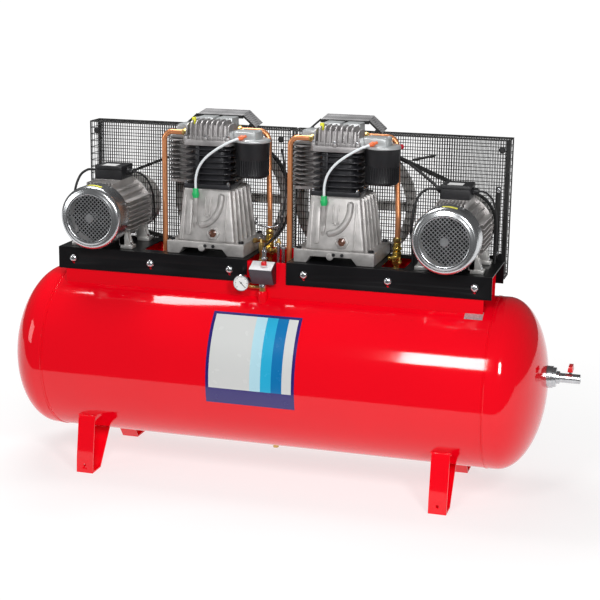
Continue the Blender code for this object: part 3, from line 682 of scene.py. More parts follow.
# Terminal boxes: black moulded boxes with a screwed lid, a blank label and a ribbed gland on each flank.
# The fixed cables leave by the glands and loop down behind the motor, held at the box and at the bed plate.
black_plastic = coating("black_plastic", (0.009, 0.009, 0.011), 0.44, 0.0, (30, 0.25), (900, 0.35))
label_white = coating("label_white", (0.80, 0.80, 0.80), 0.4, 0.0, (320, 0.35), (300, 0.05), (1, 3.0, 1))


def swept(name, points, radius, skin, body, slot, stands_for=()):
    """A round tube along a line of points, closed at both ends."""
    line = bpy.data.curves.new(name, "CURVE")
    line.dimensions = "3D"
    line.bevel_depth = radius
    line.bevel_resolution = 4
    line.use_fill_caps = True
    spline = line.splines.new("POLY")
    spline.points.add(len(points) - 1)
    for knot, point in zip(spline.points, points):
        knot.co = (*point, 1)
    spline.use_smooth = True
    line.materials.append(skin)
    made = bpy.data.objects.new(name, line)
    bpy.context.scene.collection.objects.link(made)
    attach(made, body)
    if stands_for:
        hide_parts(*stands_for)
    return made


def hose(name, route, *looks):
    """A tube that runs smoothly through every point of a route."""
    knots = [Vector(point) for point in route]
    points = []
    for index in range(len(knots) - 1):
        a, b = knots[max(index - 1, 0)], knots[index]
        c, d = knots[index + 1], knots[min(index + 2, len(knots) - 1)]
        for step in range(8):
            t = step / 8
            curve = (2 * a - 5 * b + 4 * c - d) * t**2 + (3 * b - a - 3 * c + d) * t**3
            points.append((2 * b + (c - a) * t + curve) / 2)
    return swept(name, points + [knots[-1]], *looks)


for side, axis in motors.items():
    low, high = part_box("terminal_box_" + side)
    floor_z, roof_z = low.z - axis.z, high.z - axis.z
    case = bmesh.new()
    block(case, (-0.050, low.y + 0.002, floor_z), (0.050, high.y - 0.002, roof_z - 0.013), (0.985, 0.985))
    block(case, (-0.052, low.y, roof_z - 0.0125), (0.052, high.y, roof_z), (0.97, 0.97))
    for x in (-0.045, 0.045):
        for y in (low.y + 0.008, high.y - 0.008):
            bar(case, (x, y, roof_z - 0.004), (x, y, roof_z + 0.0006 - 0.0007), 0.0046, 16)
    fit(
        "terminal_case_" + side, case, black_plastic, "frame", ["terminal_box_" + side],
        0.0022, 3, 32, axis
    )

    glands = bmesh.new()
    for flank in (-1, 1):
        place = Matrix.Translation((flank * 0.049, 0.021, 0.138))
        place = place @ Matrix.Rotation(flank * math.pi / 2, 4, "Y")
        hexagon(glands, place, 0.024, 0.008)
        lathe(
            glands, [(0.0050, 0.024), (0.0078, 0.0235), (0.0100, 0.019), (0.0108, 0.008), (0.0050, 0.008)],
            place, 28, True
        )
        for step in range(12):
            turn = math.tau * step / 12
            rib = block(glands, (0.0100, -0.0008, 0.009), (0.0117, 0.0008, 0.020))
            bmesh.ops.rotate(glands, cent=(0, 0, 0), matrix=Matrix.Rotation(turn, 3, "Z"), verts=rib)
            bmesh.ops.transform(glands, matrix=place, verts=rib)
    fit("cable_glands_" + side, glands, black_plastic, "frame", (), 0.0, 1, 32, axis)

    tag = bmesh.new()
    block(tag, (-0.030, low.y + 0.012, roof_z), (0.022, low.y + 0.062, roof_z + 0.0004 - 0.0003))
    fit("terminal_label_" + side, tag, label_white, "frame", (), 0.0, 1, 32, axis)

    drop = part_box("bed_plate_" + side)[1].z - axis.z + 0.0003
    supply = [(-0.0743, 0.021, 0.138), (-0.088, 0.021, 0.138), (-0.106, 0.018, 0.136), (-0.130, 0.010, 0.116)]
    supply += [(-0.146, 0.000, 0.070), (-0.151, -0.004, 0.010), (-0.149, -0.002, -0.050), (-0.146, 0, -0.095)]
    supply += [(-0.145, 0, drop + 0.010), (-0.145, 0, drop)]
    hose(
        "motor_supply_cable_" + side, [axis + Vector(point) for point in supply], 0.0045, black_rubber,
        "frame", "black_rubber", ["motor_cable_" + side]
    )
    link = [(0.0740, 0.021, 0.138), (0.088, 0.023, 0.137), (0.104, 0.040, 0.124), (0.117, 0.062, 0.098)]
    link += [
        (0.125, 0.080, 0.056), (0.128, 0.088, 0.010), (0.128, 0.092, -0.050), (0.126, 0.092, drop + 0.012),
        (0.126, 0.092, drop)
    ]
    hose(
        "motor_link_cable_" + side, [axis + Vector(point) for point in link], 0.0036, black_rubber, "frame",
        "black_rubber"
    )


# Pump crankcases: sand-cast aluminium boxes that lean back and inward, on a flange bolted to the bed plate.
# The front carries cast ribs, a filler boss and a round sight glass; deep ribs stiffen the flank.
case_foot, case_floor, case_top = 0.8123, 0.857, 1.0400
case_low, case_high = Vector((-0.106, -0.105, case_floor)), Vector((0.106, 0.137, case_top))
case_taper, case_shift = (0.84, 0.83), (-0.011, 0.021)
front_lean = math.atan(0.0416 / (case_top - case_floor))
satin_cast = coating("satin_cast_aluminium", (0.44, 0.425, 0.415), 0.40, 0.5, (30, 0.20), (520, 0.6))
raw_cast = coating("raw_cast_aluminium", (0.40, 0.385, 0.385), 0.44, 0.6, (20, 0.22), (480, 0.6))
pumps = {}
for side in ("left", "right"):
    low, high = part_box("flywheel_" + side)
    pumps[side] = Vector(((low.x + high.x) / 2, 0, 0))


def stadium(centre, low, high, half, steps=8):
    """The outline of an upright bar with round ends, in X and Z."""
    turns = [math.pi * step / steps for step in range(steps + 1)]
    over = [(centre + half * math.cos(turn), high - half + half * math.sin(turn)) for turn in turns]
    under = [(centre - half * math.cos(turn), low + half - half * math.sin(turn)) for turn in turns]
    return over + under


sight_brown = coating("sight_glass", (0.13, 0.055, 0.035), 0.22, 0.2, (120, 0.5), (300, 0.1), coat=0.6)
for side, pump in pumps.items():
    case = bmesh.new()
    block(case, case_low, case_high, case_taper, case_shift)
    fit(
        "crankcase_body_" + side, case, satin_cast, "frame", ["crankcase_" + side], 0.009,
        4, 32, pump
    )

    flange = bmesh.new()
    foot = [(-0.143, case_foot), (-0.098, case_foot), (-0.083, 0.836), (0.062, 0.836), (0.082, case_foot)]
    foot += [(0.143, case_foot), (0.143, 0.8585), (-0.143, 0.8585)]
    slab(flange, foot, -0.115, 0.137)
    lathe(
        flange, [(0, 0.003), (0.012, 0.003), (0.013, 0), (0.013, -0.004), (0, -0.004)],
        along_y(-0.014, -0.115, 0.838), 28
    )
    fit("crankcase_flange_" + side, flange, satin_cast, "frame", (), 0.0035, 3, 32, pump)

    relief = bmesh.new()
    for outline, proud in (
        (stadium(-0.066, 0.022, 0.150, 0.0085), 0.0068),
        (stadium(-0.045, 0.062, 0.150, 0.0062), 0.0085),
        (stadium(0.068, 0.004, 0.168, 0.0035), 0.0048),
        (stadium(-0.088, 0.004, 0.168, 0.0030), 0.0042),
        (stadium(-0.012, 0.094, 0.160, 0.0028), 0.0060),
        (stadium(0.006, 0.094, 0.160, 0.0028), 0.0060),
        (stadium(-0.003, 0.088, 0.098, 0.0045), 0.0056),
    ):
        slab(relief, outline, -proud, 0.004)
    for step in range(34):
        turn = math.radians(4 + 92 * step / 33)
        x, z = -0.026 + 0.072 * math.sin(turn), 0.152 - 0.092 * math.cos(turn)
        bmesh.ops.create_uvsphere(
            relief, u_segments=16, v_segments=10, radius=0.0120, matrix=Matrix.Translation((x, 0.0005, z))
        )
    lathe(
        relief, [(0.015, 0.0090), (0.0235, 0.0082), (0.0250, 0.0010), (0.0250, -0.003), (0.015, -0.003)],
        along_y(0.025, 0, 0.032), 6, True
    )
    lathe(
        relief, [(0.0135, 0.0080), (0.0165, 0.0128), (0.0185, 0.0112), (0.0190, -0.003), (0.0135, -0.003)],
        along_y(0.025, 0, 0.032), 40, True
    )
    lean = Matrix.Translation((0, case_low.y, case_floor)) @ Matrix.Rotation(-front_lean, 4, "X")
    bmesh.ops.transform(relief, matrix=lean, verts=relief.verts)
    lathe(
        relief,
        [(0, 1.0175), (0.0080, 1.0175), (0.0090, 1.0165), (0.0090, 0.905), (0.0060, 0.900), (0, 0.900)],
        upright(-0.045, -0.086, 0), 28
    )
    for step in range(5):
        y = -0.080 + 0.043 * step
        reach = 0.1135 + 0.0022 * step
        block(
            relief, (0.094, y - 0.0055, case_floor + 0.001), (reach, y + 0.0055, case_top - 0.004),
            (0.9, 0.7), (-0.0262, 0.021 - 0.17 * (y - 0.016))
        )
    fit("crankcase_relief_" + side, relief, satin_cast, "frame", (), 0.0012, 2, 32, pump)

    glass = bmesh.new()
    lathe(
        glass,
        [(0, 0.0100), (0.009, 0.0095), (0.0125, 0.0078), (0.0140, 0.0078), (0.0140, -0.003), (0, -0.003)],
        along_y(0.025, 0, 0.032), 36
    )
    for step in range(5):
        turn = math.tau * step / 5
        blade = block(glass, (-0.0012, -0.0112, 0.003), (0.0012, -0.0078, 0.0110))
        slope(glass, blade, turn, (0, 0, 0))
        bmesh.ops.translate(glass, vec=(0.025, 0, 0.032), verts=blade)
    bmesh.ops.transform(glass, matrix=lean, verts=glass.verts)
    fit("sight_glass_" + side, glass, sight_brown, "frame", (), 0.0, 1, 32, pump)

    bolts = bmesh.new()
    for x in (-0.128, 0.128):
        for y in (-0.098, 0.118):
            hexagon(bolts, upright(x, y, 0.8585), 0.017, 0.008)
    for x in (0.0, 0.030):
        hexagon(bolts, along_y(x, -0.1148, 0.846), 0.011, 0.005)
    fit("crankcase_bolts_" + side, bolts, black_plastic, "frame", (), 0.0, 1, 32, pump)


# Cylinders: the large one in front is black painted iron with six heavy bulging fins.
# The small high-pressure one behind is bare cast metal with nine fins that jut to a point at its free corner.
black_iron = coating("black_iron", (0.020, 0.020, 0.024), 0.40, 0.15, (24, 0.3), (420, 0.5), coat=0.12)


def bulged(left, right, front, back, corner, bulge, steps=6):
    """A rounded rectangle in X and Y, its front and sides bowed outward a little."""
    outline = []
    middle_x, middle_y = (left + right) / 2, (front + back) / 2
    half_x, half_y = (right - left) / 2, (back - front) / 2
    for way_x, way_y in ((1, -1), (1, 1), (-1, 1), (-1, -1)):
        for step in range(steps + 1):
            turn = math.radians(90 * step / steps)
            if way_x * way_y > 0:
                turn = math.pi / 2 - turn
            x = middle_x + way_x * (half_x - corner + corner * math.sin(turn))
            y = middle_y + way_y * (half_y - corner + corner * math.cos(turn))
            outline.append((x, y))
    bowed = []
    for index, (x, y) in enumerate(outline):
        bowed.append((x, y))
        far_x, far_y = outline[(index + 1) % len(outline)]
        if abs(far_x - x) + abs(far_y - y) > 2 * corner:
            for part in (0.2, 0.4, 0.6, 0.8):
                lift = bulge * math.sin(math.pi * part)
                across = (far_y - y, x - far_x)
                size = math.hypot(*across)
                spot_x, spot_y = x + (far_x - x) * part, y + (far_y - y) * part
                way = 1 if across[0] * (spot_x - middle_x) + across[1] * (spot_y - middle_y) > 0 else -1
                bowed.append((spot_x + way * lift * across[0] / size, spot_y + way * lift * across[1] / size))
    return bowed


for side, pump in pumps.items():
    front = bmesh.new()
    slab(front, bulged(-0.103, 0.0745, -0.060, 0.046, 0.012, 0.001), 1.0403, 1.0560, "Z")
    slab(front, bulged(-0.080, 0.052, -0.040, 0.040, 0.030, 0.003), 1.0540, 1.1920, "Z")
    for step in range(6):
        z = 1.0725 + 0.0212 * step
        slab(front, bulged(-0.101, 0.0720, -0.056, 0.043, 0.030, 0.0055), z - 0.0022, z + 0.0022, "Z")
    slab(front, bulged(-0.096, 0.0660, -0.052, 0.040, 0.020, 0.002), 1.1890, 1.1920, "Z")
    block(front, (-0.048, -0.0585, 1.054), (-0.042, -0.030, 1.190))
    fit(
        "cylinder_low_stage_" + side, front, black_iron, "frame", ["cylinder_front_" + side],
        0.0009, 2, 32, pump
    )

    studs = bmesh.new()
    for x in (-0.092, 0.064):
        for y in (-0.050, 0.036):
            lathe(
                studs, [(0, 0.0012), (0.0075, 0.0012), (0.0075, -0.0006), (0, -0.0006)],
                upright(x, y, 1.0566), 24
            )
            hexagon(studs, upright(x, y, 1.0574), 0.011, 0.006)
            bar(studs, (x, y, 1.058), (x, y, 1.0665), 0.003, 14)
    fit("cylinder_studs_" + side, studs, zinc, "frame", (), 0.0, 1, 32, pump)

    rear = bmesh.new()
    nose = [
        (-0.204, 0.064), (-0.162, 0.016), (-0.122, 0.056), (0.066, 0.056), (0.074, 0.064), (0.074, 0.136),
        (0.066, 0.143), (-0.196, 0.143), (-0.204, 0.136)
    ]
    slab(rear, bulged(-0.172, 0.045, 0.066, 0.132, 0.028, 0.002), 1.0410, 1.1990, "Z")
    slab(rear, bulged(-0.196, 0.060, 0.052, 0.142, 0.014, 0.001), 1.0403, 1.0520, "Z")
    for step in range(9):
        z = 1.0650 + 0.0162 * step
        slab(rear, nose, z - 0.0019, z + 0.0019, "Z")
    fit(
        "cylinder_high_stage_" + side, rear, raw_cast, "frame", ["cylinder_rear_" + side],
        0.0007, 1, 32, pump
    )


# Cylinder heads: bare castings with tall round-fronted ribs, and behind them a chest that steps up.
# A cast inlet arm reaches out to the filter, and a yellow cap closes the unused port.
pale_cast = coating("pale_cast_aluminium", (0.54, 0.56, 0.565), 0.36, 0.45, (16, 0.08), (560, 0.35))
cap_yellow = coating("cap_yellow", (0.80, 0.78, 0.03), 0.4, 0.0, (60, 0.06), (300, 0.1))
head_skirt, head_base, head_rim, head_crest = 1.1925, 1.2003, 1.2120, 1.2790
for side, pump in pumps.items():
    head = bmesh.new()
    slab(head, bulged(-0.1055, 0.0735, -0.0650, 0.0500, 0.026, 0.001), head_skirt, head_rim, "Z")
    slab(
        head, bulged(-0.0960, 0.0650, -0.0540, 0.0440, 0.026, 0.001), head_rim - 0.001, head_rim + 0.012,
        "Z"
    )
    block(head, (-0.086, -0.044, head_rim), (0.058, 0.042, head_crest - 0.016), (0.9, 0.8))
    for step in range(9):
        x = -0.0925 + 0.0192 * step
        edge = max(0.0, abs(x + 0.016) - 0.050) / 0.034
        crest = head_crest - 0.020 * edge**2
        front, back = -0.0600 + 0.018 * edge**2, 0.0460 - 0.008 * edge**2
        outline = [(front, head_rim - 0.002), (front, head_rim + 0.006)]
        for turn in range(0, 7):
            angle = math.radians(15 * turn)
            outline.append((front + 0.026 * (1 - math.cos(angle)), crest - 0.026 + 0.026 * math.sin(angle)))
        outline += [(back - 0.014, crest), (back, crest - 0.014), (back, head_rim - 0.002)]
        slab(head, outline, x - 0.0030, x + 0.0030, "X")
    for x, y in ((-0.094, -0.052), (0.062, -0.052), (-0.016, -0.060), (-0.094, 0.038)):
        bar(head, (x, y, head_rim - 0.003), (x, y, head_rim + 0.011), 0.0085, 20)
    fit(
        "cylinder_head_casting_" + side, head, raw_cast, "frame",
        ["cylinder_head_" + side], 0.0016, 2, 32, pump
    )

    chest = bmesh.new()
    slab(chest, bulged(-0.200, 0.074, 0.0535, 0.1450, 0.016, 0.001), head_base, head_rim, "Z")
    block(chest, (-0.172, 0.0540, head_rim - 0.001), (0.050, 0.1430, 1.238), (0.96, 0.94))
    for x, right, top in ((-0.168, -0.104, 1.250), (-0.096, -0.030, 1.278), (-0.022, 0.042, 1.278)):
        block(chest, (x, 0.0575, 1.236), (right, 0.1400, top), (0.94, 0.94))
    fit("cylinder_head_chest_" + side, chest, pale_cast, "frame", (), 0.003, 2, 32, pump)

    elbow = bmesh.new()
    block(elbow, (0.060, -0.040, 1.2060), (0.110, 0.040, 1.2420), (1, 0.86))
    slab(elbow, bulged(0.074, 0.166, -0.046, 0.040, 0.020, 0.001), 1.2170, 1.2440, "Z")
    lathe(
        elbow,
        [(0, 1.2190), (0.0560, 1.2185), (0.0620, 1.2160), (0.0635, 1.2120), (0.0635, 1.2060), (0, 1.2060)],
        upright(0.1373, 0, 0), 72
    )
    for x, y in ((0.092, -0.036), (0.154, -0.032), (0.092, 0.030), (0.154, 0.028)):
        bar(elbow, (x, y, 1.240), (x, y, 1.2460), 0.0055, 18)
    fit("inlet_elbow_" + side, elbow, pale_cast, "frame", (), 0.0032, 3, 32, pump)

    cap = bmesh.new()
    place = upright(-0.073, -0.022, 1.2560)
    lathe(
        cap,
        [
            (0, 0.0310), (0.0062, 0.0310), (0.0078, 0.0292), (0.0078, 0.0125), (0.0092, 0.0120),
            (0.0092, 0), (0, 0)
        ],
        place, 12
    )
    fit("port_cap_" + side, cap, cap_yellow, "frame", (), 0.0005, 1, 32, pump)

    nuts = bmesh.new()
    for x, y in ((-0.094, -0.052), (0.062, -0.052), (-0.016, -0.060), (-0.094, 0.038)):
        hexagon(nuts, upright(x, y, head_rim + 0.0108), 0.012, 0.007)
    for x in (-0.184, 0.062):
        for y in (0.066, 0.132):
            hexagon(nuts, upright(x, y, head_rim - 0.0002), 0.012, 0.008)
    fit("head_nuts_" + side, nuts, zinc, "frame", (), 0.0, 1, 32, pump)


# Intake filters: black moulded canisters that hang under the inlet arm, slotted round their lower half.
# Each breathes the crankcase through a soft white tube, from a green cap to an orange fitting on the lid.
white_nylon = coating("white_nylon", (0.78, 0.82, 0.84), 0.34, 0.0, (20, 0.05), (300, 0.05))
vent_green = coating("vent_green", (0.012, 0.46, 0.13), 0.42, 0.0, (60, 0.1), (400, 0.15))
fitting_orange = coating("fitting_orange", (0.82, 0.17, 0.05), 0.4, 0.0, (60, 0.08), (300, 0.1))
for side, pump in pumps.items():
    low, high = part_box("intake_filter_" + side)
    centre = (low + high) / 2
    radius = (high.x - low.x) / 2
    floor_z, roof_z, slot_top = low.z, high.z, low.z + 0.062
    can = bmesh.new()
    wall = [
        (0.0, floor_z + 0.002), (0.030, floor_z), (radius - 0.010, floor_z),
        (radius - 0.006, floor_z + 0.003), (radius - 0.003, floor_z + 0.010),
        (radius - 0.0045, floor_z + 0.012)
    ]
    wall += [
        (radius - 0.0045, slot_top), (radius - 0.0012, slot_top + 0.002), (radius - 0.0006, roof_z - 0.010),
        (radius, roof_z - 0.008), (radius, roof_z), (0, roof_z)
    ]
    lathe(can, wall, upright(centre.x, centre.y, 0), 88)
    for step in range(40):
        turn = math.tau * step / 40
        rib = block(
            can, (radius - 0.007, -0.0016, floor_z + 0.009), (radius - 0.0014, 0.0016, slot_top + 0.004)
        )
        bmesh.ops.rotate(can, cent=(0, 0, 0), matrix=Matrix.Rotation(turn, 3, "Z"), verts=rib)
        bmesh.ops.translate(can, vec=(centre.x, centre.y, 0), verts=rib)
    fit(
        "filter_canister_" + side, can, black_plastic, "frame", ["intake_filter_" + side],
        0.0004, 1, 32
    )

    route = [
        (-0.045, -0.086, 1.0178), (-0.045, -0.086, 1.045), (-0.044, -0.087, 1.080), (-0.033, -0.088, 1.118)
    ]
    route += [
        (-0.006, -0.088, 1.155), (0.035, -0.085, 1.187), (0.078, -0.076, 1.212), (0.108, -0.058, 1.2235)
    ]
    hose(
        "breather_hose_" + side, [pump + Vector(point) for point in route], 0.0045, white_nylon, "frame",
        "white_nylon", ["breather_tube_" + side]
    )

    vent = bmesh.new()
    lathe(
        vent,
        [
            (0.0048, 1.0440), (0.0095, 1.0435), (0.0105, 1.0420), (0.0105, 1.0300), (0.0118, 1.0290),
            (0.0118, 1.0180), (0.0100, 1.0110), (0.0092, 1.0105), (0.0092, 1.0172), (0.0048, 1.0180)
        ],
        upright(-0.045, -0.086, 0), 24, True
    )
    for step in range(12):
        rib = block(vent, (0.0098, -0.0010, 1.0195), (0.0127, 0.0010, 1.0285))
        bmesh.ops.rotate(
            vent, cent=(0, 0, 0), matrix=Matrix.Rotation(math.tau * step / 12, 3, "Z"), verts=rib
        )
        bmesh.ops.translate(vent, vec=(-0.045, -0.086, 0), verts=rib)
    fit("breather_cap_" + side, vent, vent_green, "frame", (), 0.0004, 1, 32, pump)

    union = bmesh.new()
    run = Vector((0.030, 0.018, 0.0115)).normalized()
    start = Vector((0.1075, -0.0583, 1.2234))
    bar(union, start - run * 0.004, start + run * 0.014, 0.0070, 20)
    bar(union, start + run * 0.004, start + run * 0.011, 0.0092, 6)
    bar(union, start + run * 0.013, start + run * 0.026, 0.0050, 20)
    fit("breather_union_" + side, union, fitting_orange, "frame", (), 0.0006, 2, 32, pump)


# The pipes are hand bent in round elbows, and a brass compression nut holds every end.
copper = coating("copper", (0.88, 0.36, 0.16), 0.32, 0.70, (14, 0.12), (400, 0.03), (1, 1, 0.3))
brass = coating("brass", (0.66, 0.46, 0.16), 0.28, 0.95, (50, 0.15), (600, 0.15))
gold_brass = coating("gold_brass", (0.85, 0.60, 0.14), 0.24, 0.9, (50, 0.12), (600, 0.1))


def bent(name, corners, bend, *looks):
    """A pipe with straight runs between its corners and a round elbow at each."""
    corners = [Vector(point) for point in corners]
    points = [corners[0]]
    for before, corner, after in zip(corners, corners[1:], corners[2:]):
        back, ahead = (before - corner).normalized(), (after - corner).normalized()
        half = back.angle(ahead) / 2
        reach = min(bend / math.tan(half), (before - corner).length * 0.5, (after - corner).length * 0.5)
        radius = reach * math.tan(half)
        centre = corner + (back + ahead).normalized() * (radius / math.sin(half))
        start, stop = corner + back * reach - centre, corner + ahead * reach - centre
        for step in range(11):
            points.append(centre + start.lerp(stop, step / 10).normalized() * radius)
    points.append(corners[-1])
    return swept(name, points, *looks)


for side, pump in pumps.items():
    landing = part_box("cooler_pipe_" + side)[0].z
    left = [(-0.107, -0.005, 1.230), (-0.192, -0.005, 1.230), (-0.190, -0.005, landing)]
    bent(
        "cooler_line_" + side, [pump + Vector(point) for point in left], 0.030, 0.0095, copper, "frame",
        "copper", ["cooler_pipe_" + side]
    )
    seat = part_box("delivery_pipe_" + side)[0].z
    right = [(0.0503, 0.096, 1.234), (0.166, 0.096, 1.234), (0.185, 0.060, 0.960), (0.185, 0.060, seat)]
    bent(
        "delivery_line_" + side, [pump + Vector(point) for point in right], 0.034, 0.0095, copper, "frame",
        "copper", ["delivery_pipe_" + side]
    )

    nuts = bmesh.new()
    for start, way in (
        ((-0.118, -0.005, 1.230), (1, 0, 0)), ((-0.190, -0.005, landing + 0.012), (0, 0, -1)),
        ((0.064, 0.096, 1.234), (-1, 0, 0)), ((0.185, 0.060, seat + 0.014), (0, 0, -1))
    ):
        start, way = Vector(start), Vector(way)
        bar(nuts, start, start + way * 0.0120, 0.0145, 6)
        bar(nuts, start - way * 0.004, start + way * 0.002, 0.0115, 24, 0.0125)
    fit("pipe_nuts_" + side, nuts, brass, "frame", (), 0.0008, 2, 32, pump)

    low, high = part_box("check_valve_" + side)
    valve = bmesh.new()
    section = [
        (0, high.z), (0.0115, high.z), (0.0130, high.z - 0.002), (0.0130, 0.852), (0.0100, 0.850),
        (0.0100, 0.840), (0.0155, 0.838)
    ]
    section += [
        (0.0160, 0.830), (0.0160, 0.792), (0.0120, 0.788), (0.0120, 0.730), (0.0100, 0.728),
        (0.0100, low.z), (0, low.z)
    ]
    lathe(valve, section, upright((low.x + high.x) / 2 - pump.x, (low.y + high.y) / 2, 0), 36)
    hexagon(valve, upright(0.185, 0.060, 0.842), 0.030, 0.012)
    hexagon(valve, upright(0.185, 0.060, 0.794), 0.034, 0.014)
    bar(valve, (0.185, 0.060, 0.820), (0.185, 0.018, 0.820), 0.0085, 24)
    bar(valve, (0.185, 0.034, 0.820), (0.185, 0.022, 0.820), 0.0115, 6)
    bar(valve, (0.185, 0.060, 0.812), (0.155, 0.050, 0.812), 0.0070, 20)
    bar(valve, (0.163, 0.0527, 0.812), (0.155, 0.050, 0.812), 0.0100, 6)
    fit(
        "check_valve_" + side + "_body", valve, gold_brass, "frame", ["check_valve_" + side],
        0.0007, 2, 32, pump
    )


# Belt drive: iron flywheels with five spokes and an A-section belt down to a small pulley on each motor.
# The wheels are grey iron, given a colour far paler than bare iron: painted light that keeps them pale in the
# shade behind the guard.
# This pale grey is painted light: it lifts the wheels and pulleys out of the guard's shade.
painted_light_iron = coating("painted_light_iron", (0.66, 0.64, 0.62), 0.5, 0.15, (30, 0.18), (500, 0.4))
belt_rubber = coating("belt_rubber", (0.022, 0.022, 0.022), 0.7, 0.0, (30, 0.3), (260, 0.5), (1, 6, 1))
for side in ("left", "right"):
    tidied("flywheel_casting_" + side, "flywheel_" + side, painted_light_iron, 0.0012)
    tidied("motor_pulley_casting_" + side, "motor_pulley_" + side, painted_light_iron, 0.0008)
    tidied("drive_belt_" + side, "v_belt_" + side, belt_rubber, 0.0009)
    tidied("crankshaft_forging_" + side, "crankshaft_" + side, ground_steel, 0.0006)
    axle = pumps[side] + Vector((0, 0, 0.975))
    nut = bmesh.new()
    wheel_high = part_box("flywheel_" + side)[1]
    hexagon(nut, along_y(axle.x, wheel_high.y + 0.0004, axle.z, 1), 0.030, 0.012)
    fit("flywheel_nut_" + side, nut, zinc, "crank_" + side)


# Belt guards: welded black wire grids folded over each drive, with a deep mesh on the face and open ends.
# Each hangs on two brackets behind its bed plate and is stiffened by rim wires and solid bottom corners.
guard_black = coating("guard_black", (0.012, 0.012, 0.012), 0.42, 0.1, (30, 0.3), (500, 0.2))
wire_radius, upright_pitch, level_pitch = 0.00135, 0.0088, 0.0245


def wire(shape, start, end, radius, sides=6):
    """Adds one straight wire."""
    bar(shape, start, end, radius, sides)


